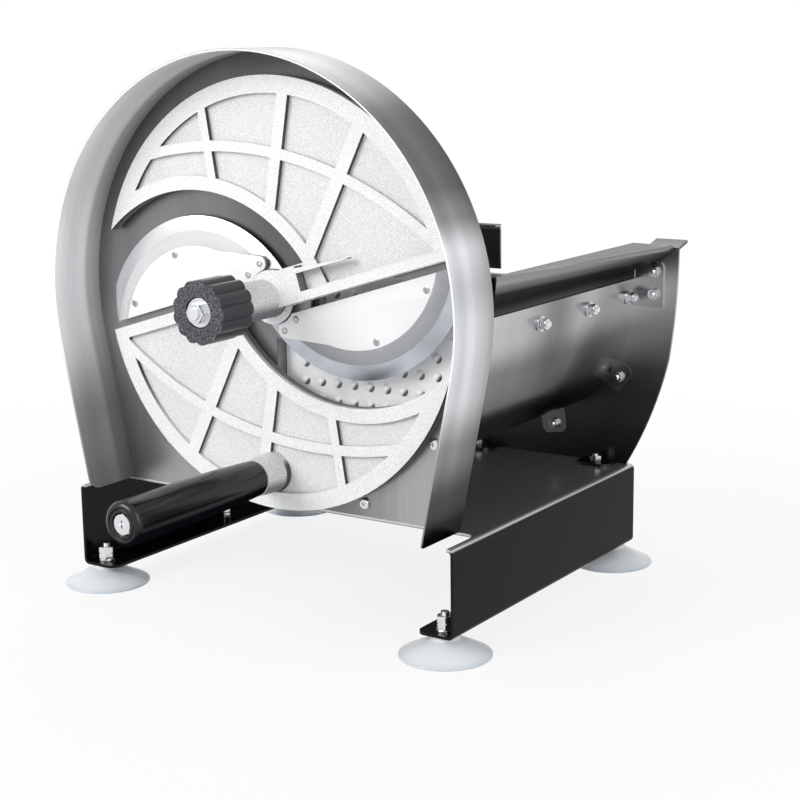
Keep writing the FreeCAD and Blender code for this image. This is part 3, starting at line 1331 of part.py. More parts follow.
def main():
    """Build and write every node."""
    export("base_frame", base_frame())
    for name, x, y in foot_places():
        export("foot_cup_" + name, suction_cup(x, y))
        export("foot_stud_" + name, foot_stud(x, y))
        export("foot_nuts_" + name, foot_nuts(x, y))
    export("side_bolts", side_bolts())
    export("side_bolt_nuts", side_bolt_nuts())
    export("hood_band", hood_band())
    export("back_plate", back_plate())
    export("doubler_plate", doubler_plate())
    export("plate_screws", plate_screws())
    export("plate_nuts", plate_nuts())
    bolts, nuts = foot_bolts(HOOD_BOLTS, BASE_TOP + SHEET, PLATE + SHEET)
    export("hood_bolts", bolts)
    export("hood_bolt_nuts", nuts)
    bolts, nuts = foot_bolts(FOOT_BOLTS, SHIELD_FOOT[1] + AXIS_Z + PLATE, 2 * PLATE + 0.1)
    export("rear_foot_bolts", bolts)
    export("rear_foot_nuts", nuts)
    export("feed_trough", feed_trough())
    export("rail", rail())
    export("guide_strip", guide_strip())
    export("rail_bolts", rail_bolts())
    export("rail_nuts", rail_nuts())
    export("rear_plate", rear_plate())
    export("tab_bolts", tab_bolts())
    export("tab_nuts", tab_nuts())
    export("thickness_casting", thickness_casting())
    export("blade_upper", turned(blade()))
    export("blade_lower", turned(half_turned(blade())))
    export("blade_holder_upper", turned(blade_holder()))
    export("blade_holder_lower", turned(half_turned(blade_holder())))
    export("blade_screws", blade_screws())
    export("drive_shaft", drive_shaft())
    export("drive_pins", drive_pins())
    export("shaft_end_washer", end_washer())
    export("shaft_end_nut", end_nut())
    export("bearing_housing", bearing_housing())
    export("housing_screws", housing_screws())
    export("front_bush", front_bush())
    export("rear_bush", rear_bush())
    export("adjusting_screw", adjusting_screw())
    export("boss_retainer", retainer())
    export("retainer_screws", retainer_screws())
    export("adjusting_knob", knob())
    export("knob_washer", knob_washer())
    export("knob_nut", knob_nut())
    export("handle_spindle", handle_spindle())
    export("handle_grip", grip())
    export("grip_washer", grip_washer())
    export("grip_screw", grip_screw())
    export("pusher_face", pusher_face())
    export("pusher_carriage", pusher_carriage())
    export("pusher_handle", pusher_handle())


main()
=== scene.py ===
"""Scene of a hand-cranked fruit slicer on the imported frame.

Every sub-assembly is a class that holds its sizes in millimetres and has two
methods: build makes the pieces that only the picture needs, such as threads and
cross recesses, and dress gives the carried-over pieces their eased edges and
their finishes. Sizes are written from the disc axis: x to the right as seen
from the front, y from the front face of the disc towards the rear, z up.
"""
from __future__ import annotations

import json
import logging
import math
from dataclasses import dataclass
from enum import Enum
from functools import cache

import bmesh
import bpy
from mathutils import Matrix, Vector

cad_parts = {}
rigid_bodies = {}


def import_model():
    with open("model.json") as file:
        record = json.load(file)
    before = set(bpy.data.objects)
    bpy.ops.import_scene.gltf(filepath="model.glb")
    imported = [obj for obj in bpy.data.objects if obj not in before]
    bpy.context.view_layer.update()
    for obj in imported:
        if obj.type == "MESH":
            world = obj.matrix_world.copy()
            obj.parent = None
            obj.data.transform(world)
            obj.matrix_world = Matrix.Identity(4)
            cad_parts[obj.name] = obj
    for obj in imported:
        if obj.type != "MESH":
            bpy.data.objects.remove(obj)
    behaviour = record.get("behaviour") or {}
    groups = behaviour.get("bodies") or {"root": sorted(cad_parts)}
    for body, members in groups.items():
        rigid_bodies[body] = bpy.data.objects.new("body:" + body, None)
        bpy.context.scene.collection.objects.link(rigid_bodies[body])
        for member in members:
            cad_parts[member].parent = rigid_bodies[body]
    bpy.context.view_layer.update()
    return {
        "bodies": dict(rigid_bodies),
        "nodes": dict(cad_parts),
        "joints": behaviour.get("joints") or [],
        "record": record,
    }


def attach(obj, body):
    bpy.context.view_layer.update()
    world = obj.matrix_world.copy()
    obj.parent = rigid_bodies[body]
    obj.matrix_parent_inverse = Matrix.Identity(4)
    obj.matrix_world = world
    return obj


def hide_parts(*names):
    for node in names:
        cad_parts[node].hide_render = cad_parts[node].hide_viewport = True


LOG = logging.getLogger("fruit_slicer")
MM = 0.001
Colour = tuple[float, float, float]
Pair = tuple[float, float]
Inputs = dict[str | int, object]
Node = bpy.types.Node
Socket = bpy.types.NodeSocket
Outputs = bpy.types.NodeOutputs
Tree = bpy.types.NodeTree
Piece = bpy.types.Object
BMesh = bmesh.types.BMesh

ACROSS = (1.0, 0.0, 0.0)
BACKWARD = (0.0, 1.0, 0.0)
FORWARD = (0.0, -1.0, 0.0)
UPWARD = (0.0, 0.0, 1.0)
DOWNWARD = (0.0, 0.0, -1.0)


# Node helper


class Brush(Enum):
    """Stretch of the brush lines, in lines per metre along x, y and z."""

    ALONG_X = (9.0, 620.0, 620.0)
    ALONG_Y = (620.0, 9.0, 620.0)
    ALONG_Z = (620.0, 620.0, 9.0)
    ROUND_Y = (7.0, 640.0, 7.0)
    EVEN = (90.0, 90.0, 90.0)


@dataclass(frozen=True)
class Look:
    """Faces that look a way: none at the dot product start, all of them at end."""

    way: Colour
    start: float
    end: float


class Wiring:
    """A node tree with short calls that add nodes and join them."""

    def __init__(self, tree: Tree) -> None:
        """Keep the tree of a material, a group or the world."""
        self.tree = tree

    def feed(self, socket: Socket, value: object) -> None:
        """Join an output to a socket, or write a plain value on it.

        Args:
            socket: the input socket.
            value: an output socket, a number, a colour or a vector.
        """
        if isinstance(value, bpy.types.NodeSocket):
            self.tree.links.new(value, socket)
        elif socket.type == "RGBA" and len(value) == 3:
            socket.default_value = (*value, 1.0)
        else:
            socket.default_value = value

    def fill(self, node: Node, inputs: Inputs) -> None:
        """Feed several inputs of a node, given by name or number."""
        for key, value in inputs.items():
            self.feed(node.inputs[key], value)

    def add(self, kind: str, inputs: Inputs | None = None, **settings: object) -> Node:
        """Add one node.

        Args:
            kind: the node's type name.
            inputs: what its inputs get, by name or number.
            settings: attributes to set on the node.

        Returns:
            The new node.
        """
        node = self.tree.nodes.new(kind)
        for name, value in settings.items():
            setattr(node, name, value)
        self.fill(node, inputs or {})
        return node

    def math(self, operation: str, a: object, b: object = 0.0) -> Socket:
        """Return the output of a Math node on a and b."""
        return self.add("ShaderNodeMath", {0: a, 1: b}, operation=operation).outputs[0]

    def product(self, first: object, *others: object) -> Socket:
        """Return the product of two or more values."""
        for other in others:
            first = self.math("MULTIPLY", first, other)
        return first

    def scaled(self, value: object, factor: object, offset: object) -> Socket:
        """Return value times factor plus offset."""
        return self.math("ADD", self.math("MULTIPLY", value, factor), offset)

    def around(self, value: object, middle: float, spread: float) -> Socket:
        """Return middle with half a spread less or more, as value goes from 0 to 1."""
        return self.scaled(value, spread, middle - 0.5 * spread)

    def vector(self, operation: str, a: object, b: object = (0.0, 0.0, 0.0)) -> Socket:
        """Return the vector that a Vector Math node makes of a and b."""
        return self.add("ShaderNodeVectorMath", {0: a, 1: b}, operation=operation).outputs[0]

    def measure(self, operation: str, a: object, b: object = (0.0, 0.0, 0.0)) -> Socket:
        """Return the number that a Vector Math node makes of a and b."""
        return self.add("ShaderNodeVectorMath", {0: a, 1: b}, operation=operation).outputs["Value"]

    def times(self, colour: object, value: object) -> Socket:
        """Return a colour multiplied by a grey value."""
        return self.add("ShaderNodeVectorMath", {0: colour, "Scale": value}, operation="SCALE").outputs[0]

    def level(self, vector: object, letter: str = "Y") -> Socket:
        """Return one coordinate of a vector."""
        return self.add("ShaderNodeSeparateXYZ", {0: vector}).outputs[letter]

    def coordinates(self, kind: str = "Object") -> Socket:
        """Return the object coordinates or, by kind, another output of that node."""
        return self.add("ShaderNodeTexCoord").outputs[kind]

    def ease(self, value: object, start: float, end: float) -> Socket:
        """Return 0 before start and 1 after end, smoothly in between."""
        inputs = {"Value": value, "From Min": start, "From Max": end}
        return self.add("ShaderNodeMapRange", inputs, interpolation_type="SMOOTHSTEP").outputs["Result"]

    def faces(self, look: Look) -> Socket:
        """Return 1 on the faces that look a way and 0 on the others."""
        turned = self.measure("DOT_PRODUCT", self.coordinates("Normal"), look.way)
        return self.ease(turned, look.start, look.end)

    def blend(self, share: object, a: object, b: object) -> Socket:
        """Return the colour that is a at share 0 and b at share 1."""
        return self.add("ShaderNodeMix", {0: share, 6: a, 7: b}, data_type="RGBA").outputs[2]

    def noise(self, place: object, scale: float, detail: float = 2.0, rough: float = 0.5) -> Socket:
        """Return the value of a noise texture."""
        inputs = {"Vector": place, "Scale": scale, "Detail": detail, "Roughness": rough}
        return self.add("ShaderNodeTexNoise", inputs).outputs["Fac"]

    def group(self, tree: Tree, **inputs: object) -> Outputs:
        """Place a shared node group and return its outputs."""
        return self.add("ShaderNodeGroup", inputs, node_tree=tree).outputs


class Effects:
    """Node groups that several finishes share, each built once."""

    fine_share: float = 0.6
    cell_height: float = 0.6
    fine_height: float = 0.5
    grain_range: Pair = (0.4, 0.66)
    edge_mask_range: Pair = (0.995, 0.86)

    @staticmethod
    def start(name: str, inputs: dict[str, str], outputs: tuple[str, ...]) -> tuple[Wiring, Outputs, Node]:
        """Open a new group.

        Args:
            name: the group's name.
            inputs: socket names, each with Vector or Float.
            outputs: names of its number outputs.

        Returns:
            The wiring, what the input node gives and the output node.
        """
        tree = bpy.data.node_groups.new(name, "ShaderNodeTree")
        for socket, kind in inputs.items():
            tree.interface.new_socket(name=socket, in_out="INPUT", socket_type="NodeSocket" + kind)
        for socket in outputs:
            tree.interface.new_socket(name=socket, in_out="OUTPUT", socket_type="NodeSocketFloat")
        w = Wiring(tree)
        return w, w.add("NodeGroupInput").outputs, w.add("NodeGroupOutput")

    @classmethod
    @cache
    def brush_lines(cls) -> Tree:
        """Return the group that draws the fine lines of brushed sheet."""
        inputs = {"Vector": "Vector", "Stretch": "Vector"}
        w, given, out = cls.start("brush_lines", inputs, ("Lines", "Streaks"))
        place = w.vector("MULTIPLY", given["Vector"], given["Stretch"])
        fine = w.noise(place, 1.0, 3.0, 0.7)
        broad = w.noise(place, 0.11, 2.0, 0.55)
        lines = w.scaled(fine, cls.fine_share, w.math("MULTIPLY", broad, 1.0 - cls.fine_share))
        w.fill(out, {"Lines": lines, "Streaks": broad})
        return w.tree

    @classmethod
    @cache
    def sand_grain(cls) -> Tree:
        """Return the group that draws the skin of a sand casting."""
        inputs = {"Vector": "Vector", "Scale": "Float"}
        w, given, out = cls.start("sand_grain", inputs, ("Grain", "Height", "Patches"))
        place = w.times(given["Vector"], given["Scale"])
        cells = w.add("ShaderNodeTexVoronoi", feature="SMOOTH_F1")
        w.fill(cells, {"Vector": place, "Smoothness": 0.6})
        fine = w.math("MULTIPLY", w.noise(place, 1.7, 3.0, 0.65), cls.fine_height)
        height = w.scaled(cells.outputs["Distance"], cls.cell_height, fine)
        w.fill(out, {"Height": height, "Grain": w.ease(height, *cls.grain_range),
                     "Patches": w.noise(place, 0.035)})
        return w.tree

    @classmethod
    @cache
    def bands(cls) -> Tree:
        """Return the group that measures a place along a direction, from 0 to 1."""
        inputs = {"Vector": "Vector", "Direction": "Vector", "Start": "Float", "End": "Float"}
        w, given, out = cls.start("bands", inputs, ("Place",))
        along = w.measure("DOT_PRODUCT", given["Vector"], given["Direction"])
        share = w.add("ShaderNodeMapRange",
                      {"Value": along, "From Min": given["Start"], "From Max": given["End"]})
        w.fill(out, {"Place": share.outputs["Result"]})
        return w.tree

    @classmethod
    @cache
    def eased_edges(cls) -> Tree:
        """Return the group that marks the edges for a painted edge highlight, from the rounded normal."""
        w, given, out = cls.start("eased_edges", {"Radius": "Float"}, ("EdgeMask",))
        soft = w.add("ShaderNodeBevel", {"Radius": given["Radius"]}, samples=4)
        flat = w.add("ShaderNodeNewGeometry").outputs["Normal"]
        w.fill(out, {"EdgeMask": w.ease(w.measure("DOT_PRODUCT", soft.outputs[0], flat), *cls.edge_mask_range)})
        return w.tree

    @classmethod
    def brushed(cls, w: Wiring, place: Socket, brush: Brush, deep: float) -> tuple[Outputs, Socket]:
        """Draw brush lines on a material.

        Args:
            w: wiring of the material.
            place: object coordinates.
            brush: how the lines run.
            deep: how dark the lines are.

        Returns:
            The group's outputs and the grey value of the lines.
        """
        lines = w.group(cls.brush_lines(), Vector=place, Stretch=brush.value)
        return lines, w.around(lines["Lines"], 1.0, -deep)


# Finishes


@dataclass(frozen=True)
class PaintedLightBand:
    """Soft bands of painted reflection and painted shade across a sheet, as shares of the way."""

    direction: Colour
    start: float
    end: float
    stops: tuple[Pair, ...]


@dataclass(frozen=True)
class Finish:
    """A surface finish; material makes it once and keeps it by name."""

    name: str

    def wire(self, w: Wiring, shader: Node, place: Socket) -> None:
        """Add the finish's own nodes.

        Args:
            w: wiring of the material.
            shader: the Principled shader.
            place: object coordinates.
        """
        raise NotImplementedError

    def material(self) -> bpy.types.Material:
        """Return the finish's material."""
        found = bpy.data.materials.get(self.name)
        if found:
            return found
        material = bpy.data.materials.new(self.name)
        material.use_nodes = True
        w = Wiring(material.node_tree)
        self.wire(w, material.node_tree.nodes["Principled BSDF"], w.coordinates())
        return material

    @staticmethod
    def bump(w: Wiring, shader: Node, height: object, strength: float, depth: float) -> None:
        """Feed the shader's normal from a height.

        Args:
            w: wiring of the material.
            shader: the Principled shader.
            height: the height value.
            strength: share of the effect.
            depth: height of the relief in metres.
        """
        node = w.add("ShaderNodeBump", {"Strength": strength, "Distance": depth, "Height": height})
        w.feed(shader.inputs["Normal"], node.outputs["Normal"])


@dataclass(frozen=True)
class Steel(Finish):
    """Brushed or polished stainless steel sheet, with painted reflections and painted shade as bands in its
    colour and a painted tone of its own on faces turned to the disc axis.
    """

    tone: Colour
    roughness: float
    brush: Brush
    deep: float
    # painted reflections and painted shade, as bands in the colour
    painted_light_bands: tuple[PaintedLightBand, ...] = ()
    # painted tone and bands for faces turned to the disc axis, lighter or darker than the outer faces
    inner_painted_tone: Colour | None = None
    inner_painted_light_bands: tuple[PaintedLightBand, ...] = ()
    metallic: float = 1.0
    inner_metallic: float = 1.0
    grazing: float = 1.0
    front_tone: Colour | None = None
    front: Look = Look(FORWARD, 0.7, 0.95)
    relief: float = 0.25
    relief_depth: float = 0.06 * MM
    cloud_scale: float = 11.0
    cloud_spread: float = 0.16
    rough_spread: float = 0.12

    @staticmethod
    def sweep(w: Wiring, place: Socket, colour: object, painted_light_bands: tuple[PaintedLightBand, ...]) -> object:
        """Multiply a colour by its painted bands of reflection and shade.

        Args:
            w: wiring of the material.
            place: object coordinates.
            colour: the colour before.
            painted_light_bands: the bands.

        Returns:
            The colour after.
        """
        for one in painted_light_bands:
            along = w.group(Effects.bands(), Vector=place, Direction=one.direction,
                            Start=one.start, End=one.end)
            ramp = w.add("ShaderNodeValToRGB", {"Fac": along["Place"]})
            ramp.color_ramp.interpolation = "EASE"
            points = ramp.color_ramp.elements
            for index, (at, value) in enumerate(one.stops):
                point = points[index] if index < 2 else points.new(at)
                point.position = at
                point.color = (value, value, value, 1.0)
            colour = w.vector("MULTIPLY", colour, ramp.outputs["Color"])
        return colour

    def wire(self, w: Wiring, shader: Node, place: Socket) -> None:
        """Add brush lines, streaks, the painted reflection and shade bands and any painted inner tone; see
        Finish.wire for the arguments.
        """
        lines, shade = Effects.brushed(w, place, self.brush, self.deep)
        # painted reflections and painted shade multiplied into the tone
        colour = self.sweep(w, place, self.tone, self.painted_light_bands)
        metal: object = self.metallic
        # faces turned to the disc axis get their own painted tone and bands
        if self.inner_painted_tone:
            outward = Machine.outward(w, place)
            colour = w.blend(outward, self.sweep(w, place, self.inner_painted_tone, self.inner_painted_light_bands), colour)
            if self.inner_metallic != self.metallic:
                metal = w.scaled(outward, self.metallic - self.inner_metallic, self.inner_metallic)
        if self.front_tone:
            colour = w.blend(w.faces(self.front), colour, self.front_tone)
        cloud = w.around(w.noise(place, self.cloud_scale), 1.0, self.cloud_spread)
        w.fill(shader, {"Base Color": w.times(colour, w.math("MULTIPLY", shade, cloud)),
                        "Roughness": w.around(lines["Streaks"], self.roughness, self.rough_spread),
                        "Metallic": metal, "Specular Tint": (self.grazing,) * 3})
        self.bump(w, shader, lines["Lines"], self.relief, self.relief_depth)


@dataclass(frozen=True)
class Casting(Finish):
    """Sandblasted light casting with greyer floors, and painted shade on its walls: darkest where they turn
    to the lower right, dark behind the front, under the boss and arm, and on the arm's pocket wall.

    The fields that end in _at are shares of the depth behind the front face,
    those that end in _r are distances from the disc axis in metres.
    """

    tone: Colour
    deep_tone: Colour
    wall_shade_tone: Colour
    shade_tone: Colour
    front_y: float
    depth: float
    metallic: float = 0.1
    grain: float = 700.0
    floor_at: Pair = (0.3, 0.85)
    rear_at: Pair = (1.02, 1.2)
    boss_at: Pair = (-0.2, -0.8)
    wall_turn: Pair = (0.85, 0.25)
    # painted shade: walls turned this way, faces that look down and the pocket's wall get the dark wall tones
    away: Look = Look((0.82, 0.0, -0.57), 0.1, 0.5)
    under: Look = Look((0.25, 0.0, -0.97), 0.2, 0.8)
    pocket: Look = Look((0.956, 0.0, 0.292), 0.95, 0.98)
    pocket_inner_r: Pair = (0.022, 0.026)
    pocket_outer_r: Pair = (0.085, 0.08)
    brightest: float = 1.16
    speck: float = 0.4
    floor_speck: float = 0.08
    wall_speck: float = 0.25
    patch_spread: float = 0.08
    roughness: float = 0.555
    rough_spread: float = 0.15
    relief: float = 0.7
    relief_depth: float = 0.4 * MM

    def wire(self, w: Wiring, shader: Node, place: Socket) -> None:
        """Add grain, pocket floors and the painted shade on the walls; see Finish.wire for the arguments."""
        sand = w.group(Effects.sand_grain(), Vector=place, Scale=self.grain)
        low, behind, before = (
            w.ease(w.level(place), *(self.front_y + share * self.depth for share in shares))
            for shares in (self.floor_at, self.rear_at, self.boss_at))
        wall = w.ease(w.math("ABSOLUTE", w.level(w.coordinates("Normal"))), *self.wall_turn)
        reach = w.measure("LENGTH", Machine.from_axis(w, place))
        pocket = w.product(w.faces(self.pocket), w.ease(reach, *self.pocket_inner_r),
                           w.ease(reach, *self.pocket_outer_r))
        face = w.blend(low, self.tone, self.deep_tone)
        # painted shade on the walls: darkest where they turn to the lower right, dark behind the front
        edge = w.blend(behind, w.blend(w.faces(self.away), self.deep_tone, self.shade_tone), self.wall_shade_tone)
        # painted shade on the boss and arm where they look down and on the pocket's wall
        arm = w.blend(w.math("MAXIMUM", w.faces(self.under), pocket), self.tone, self.wall_shade_tone)
        colour = w.blend(wall, face, w.blend(before, edge, arm))
        speck = w.scaled(low, self.floor_speck, w.scaled(wall, self.wall_speck, self.speck))
        shade = w.math("SUBTRACT", self.brightest, w.math("MULTIPLY", sand["Grain"], speck))
        shade = w.math("MULTIPLY", shade, w.around(sand["Patches"], 1.0, self.patch_spread))
        w.fill(shader, {"Base Color": w.times(colour, shade), "Metallic": self.metallic,
                        "Roughness": w.around(sand["Grain"], self.roughness, self.rough_spread)})
        self.bump(w, shader, sand["Height"], self.relief, self.relief_depth)


@dataclass(frozen=True)
class Plate(Finish):
    """White satin plate whose sloping edge is sandblasted grey, with painted shade on slope faces turned to
    the lower right and its lit tone elsewhere on the slope.
    """

    tone: Colour
    shaded_slope_tone: Colour
    lit_tone: Colour
    front_y: float
    rim_r: float
    grain: float = 1300.0
    slope_depth: float = 0.35 * MM
    rim_width: float = 0.3 * MM
    away: Look = Look((0.45, 0.0, -0.89), -0.25, 0.2)
    speck: float = 0.07
    slope_speck: float = 0.3
    roughness: float = 0.36
    slope_rough: float = 0.2
    metallic: float = 0.1
    relief: float = 0.18
    relief_depth: float = 0.1 * MM

    def wire(self, w: Wiring, shader: Node, place: Socket) -> None:
        """Add the face, its slope and the slope's painted shade; see Finish.wire for the arguments."""
        sand = w.group(Effects.sand_grain(), Vector=place, Scale=self.grain)
        rim = w.ease(Machine.from_blade_centre(w, place), self.rim_r, self.rim_r + self.rim_width)
        slope = w.ease(w.level(place), self.front_y, self.front_y + self.slope_depth)
        slope = w.math("MAXIMUM", slope, rim)
        # painted shade on slope faces turned to the lower right
        colour = w.blend(slope, self.tone, w.blend(w.faces(self.away), self.lit_tone, self.shaded_slope_tone))
        speck = w.math("MULTIPLY", sand["Grain"], w.scaled(slope, self.slope_speck, self.speck))
        w.fill(shader, {"Base Color": w.times(colour, w.math("SUBTRACT", 1.0, speck)),
                        "Roughness": w.scaled(slope, self.slope_rough, self.roughness),
                        "Metallic": self.metallic})
        self.bump(w, shader, sand["Height"], self.relief, self.relief_depth)


@dataclass(frozen=True)
class Turned(Finish):
    """Turned or plated metal with fine tool marks and a painted highlight on its edges."""

    tone: Colour
    roughness: float
    brush: Brush = Brush.EVEN
    deep: float = 0.25
    edge_highlight_tone: Colour = (0.88, 0.89, 0.9)
    edge_mask_radius: float = 0.4 * MM
    highlight_share: float = 0.45
    rough_spread: float = 0.14
    relief: float = 0.2
    relief_depth: float = 0.05 * MM

    def colour(self, w: Wiring, place: Socket, shade: Socket) -> Socket:
        """Return the colour of the surface.

        Args:
            w: wiring of the material.
            place: object coordinates; not used here.
            shade: grey value of the tool marks.

        Returns:
            The colour, with a painted highlight on the edges.
        """
        # painted highlight: the edges blend towards a light tone
        edge_mask = w.group(Effects.eased_edges(), Radius=self.edge_mask_radius)["EdgeMask"]
        return w.blend(w.math("MULTIPLY", edge_mask, self.highlight_share), w.times(self.tone, shade), self.edge_highlight_tone)

    def wire(self, w: Wiring, shader: Node, place: Socket) -> None:
        """Add the tool marks; see Finish.wire for the arguments."""
        lines, shade = Effects.brushed(w, place, self.brush, self.deep)
        w.fill(shader, {"Base Color": self.colour(w, place, shade), "Metallic": 1.0,
                        "Roughness": w.around(lines["Streaks"], self.roughness, self.rough_spread)})
        self.bump(w, shader, lines["Lines"], self.relief, self.relief_depth)


@dataclass(frozen=True)
class Ground(Turned):
    """Ground blade: steel blue, blending higher up the disc into a painted highlight tone."""

    lit_tone: Colour = (0.76, 0.77, 0.78)
    rise: PaintedLightBand = PaintedLightBand((-0.29, 0.0, 0.96), 0.17, 0.26, ())
    lit_range: Pair = (0.35, 0.65)
    cloud_scale: float = 24.0
    cloud_spread: float = 1.1
    cloud_least: float = 0.4

    def colour(self, w: Wiring, place: Socket, shade: Socket) -> Socket:
        """Return the colour: steel blue lower on the disc and a painted highlight higher up; see
        Turned.colour.
        """
        # painted highlight: the lit tone rises along the disc's up direction
        rise = w.group(Effects.bands(), Vector=place, Direction=self.rise.direction,
                       Start=self.rise.start, End=self.rise.end)
        cloud = w.scaled(w.noise(place, self.cloud_scale), self.cloud_spread, self.cloud_least)
        blue = w.times(self.tone, cloud)
        return w.times(w.blend(w.ease(rise["Place"], *self.lit_range), blue, self.lit_tone), shade)


@dataclass(frozen=True)
class Moulded(Finish):
    """Moulded plastic, glossy or grained, with an optional speckled front."""

    tone: Colour
    roughness: float
    coat: float
    relief: float
    speckle: Colour | None = None
    rough_from: float = 1.0
    gloss: float = 0.5
    under_gloss: float | None = None
    shadow: Colour | None = None
    shadow_side: Look = Look((0.8, 0.0, -0.6), 0.2, 0.6)
    front: Look = Look(FORWARD, 0.6, 0.9)
    under: Look = Look(DOWNWARD, -0.1, 0.35)
    cloud_spread: float = 0.5
    rough_spread: float = 0.12
    neck_share: float = 0.7
    speck_scale: float = 1150.0
    speck_range: Pair = (0.52, 0.2)
    speck_share: float = 0.85
    speck_rough: float = 0.2
    speck_height: float = 2.0
    relief_depth: float = 0.12 * MM

    def wire(self, w: Wiring, shader: Node, place: Socket) -> None:
        """Add grain and speckle; see Finish.wire for the arguments."""
        fine = w.noise(place, 900.0, 3.0, 0.6)
        cloud = w.noise(place, 45.0)
        colour = w.times(self.tone, w.around(cloud, 1.0, self.cloud_spread))
        rough = w.around(cloud, self.roughness, self.rough_spread)
        height, gloss = fine, self.gloss
        if self.shadow:
            colour = w.blend(w.faces(self.shadow_side), colour, self.shadow)
        if self.speckle:
            neck = w.ease(w.level(place), self.rough_from, self.rough_from + MM)
            area = w.math("MAXIMUM", w.faces(self.front), w.math("MULTIPLY", neck, self.neck_share))
            spots = w.add("ShaderNodeTexVoronoi", {"Vector": place, "Scale": self.speck_scale})
            spots = w.math("MULTIPLY", spots.outputs["Distance"], w.math("ADD", fine, 0.5))
            grains = w.math("MULTIPLY", area, w.ease(spots, *self.speck_range))
            colour = w.blend(w.math("MULTIPLY", grains, self.speck_share), colour, self.speckle)
            rough = w.scaled(area, self.speck_rough, rough)
            height = w.scaled(grains, self.speck_height, fine)
        if self.under_gloss is not None:
            gloss = w.scaled(w.faces(self.under), self.under_gloss - self.gloss, self.gloss)
        w.fill(shader, {"Base Color": colour, "Roughness": rough, "Specular IOR Level": gloss,
                        "Coat Weight": self.coat, "Coat Roughness": 0.06})
        self.bump(w, shader, height, self.relief, self.relief_depth)


@dataclass(frozen=True)
class SoftCup(Finish):
    """Clear soft plastic of the suction cups, greyer at the rim on the table."""

    tone: Colour
    rim_tone: Colour = (0.72, 0.8, 0.87)
    rim_height: float = 0.0035
    haze_spread: float = 0.12
    roughness: float = 0.34
    rough_spread: float = 0.2
    transmission: float = 0.35
    refraction: float = 1.4
    relief: float = 0.1
    relief_depth: float = 0.3 * MM

    def wire(self, w: Wiring, shader: Node, place: Socket) -> None:
        """Add haze and fine waves; see Finish.wire for the arguments."""
        haze = w.noise(place, 60.0, 3.0, 0.6)
        colour = w.blend(w.ease(w.level(place, "Z"), self.rim_height, 0.0), self.tone, self.rim_tone)
        w.fill(shader, {"Base Color": w.times(colour, w.around(haze, 0.99, self.haze_spread)),
                        "Roughness": w.around(haze, self.roughness, self.rough_spread),
                        "Transmission Weight": self.transmission, "IOR": self.refraction})
        self.bump(w, shader, haze, self.relief, self.relief_depth)


# Mesh building


class Head(Enum):
    """Screw heads: sides, eased rim, faces across it, recess as a share of the height."""

    HEXAGON = (6, 0.5, 2, 0.0)
    PAN = (32, 1.32, 4, 0.6)
    SUNK = (32, 0.25, 2, 0.55)


@dataclass(frozen=True)
class Screw:
    """A size of screw in millimetres."""

    radius: float
    pitch: float
    head: Head | None = None
    head_r: float = 0.0
    head_h: float = 0.0


@dataclass(frozen=True)
class Bolt:
    """One screw: its head's bearing face is at base, its shank runs along axis."""

    base: Colour
    axis: Colour
    length: float
    size: Screw


SIDE_BOLT = Screw(2.5, 0.8, Head.HEXAGON, 4.6, 3.3)
FOOT_BOLT = Screw(2.5, 0.8, Head.HEXAGON, 4.6, 3.5)
SHEET_SCREW = Screw(2.0, 0.7, Head.PAN, 3.9, 2.2)
BLADE_SCREW = Screw(1.5, 0.5, Head.SUNK, 2.7, 1.2)
GRIP_SCREW = Screw(2.5, 0.8, Head.SUNK, 6.5, 3.4)
STUD = Screw(3.0, 1.0)


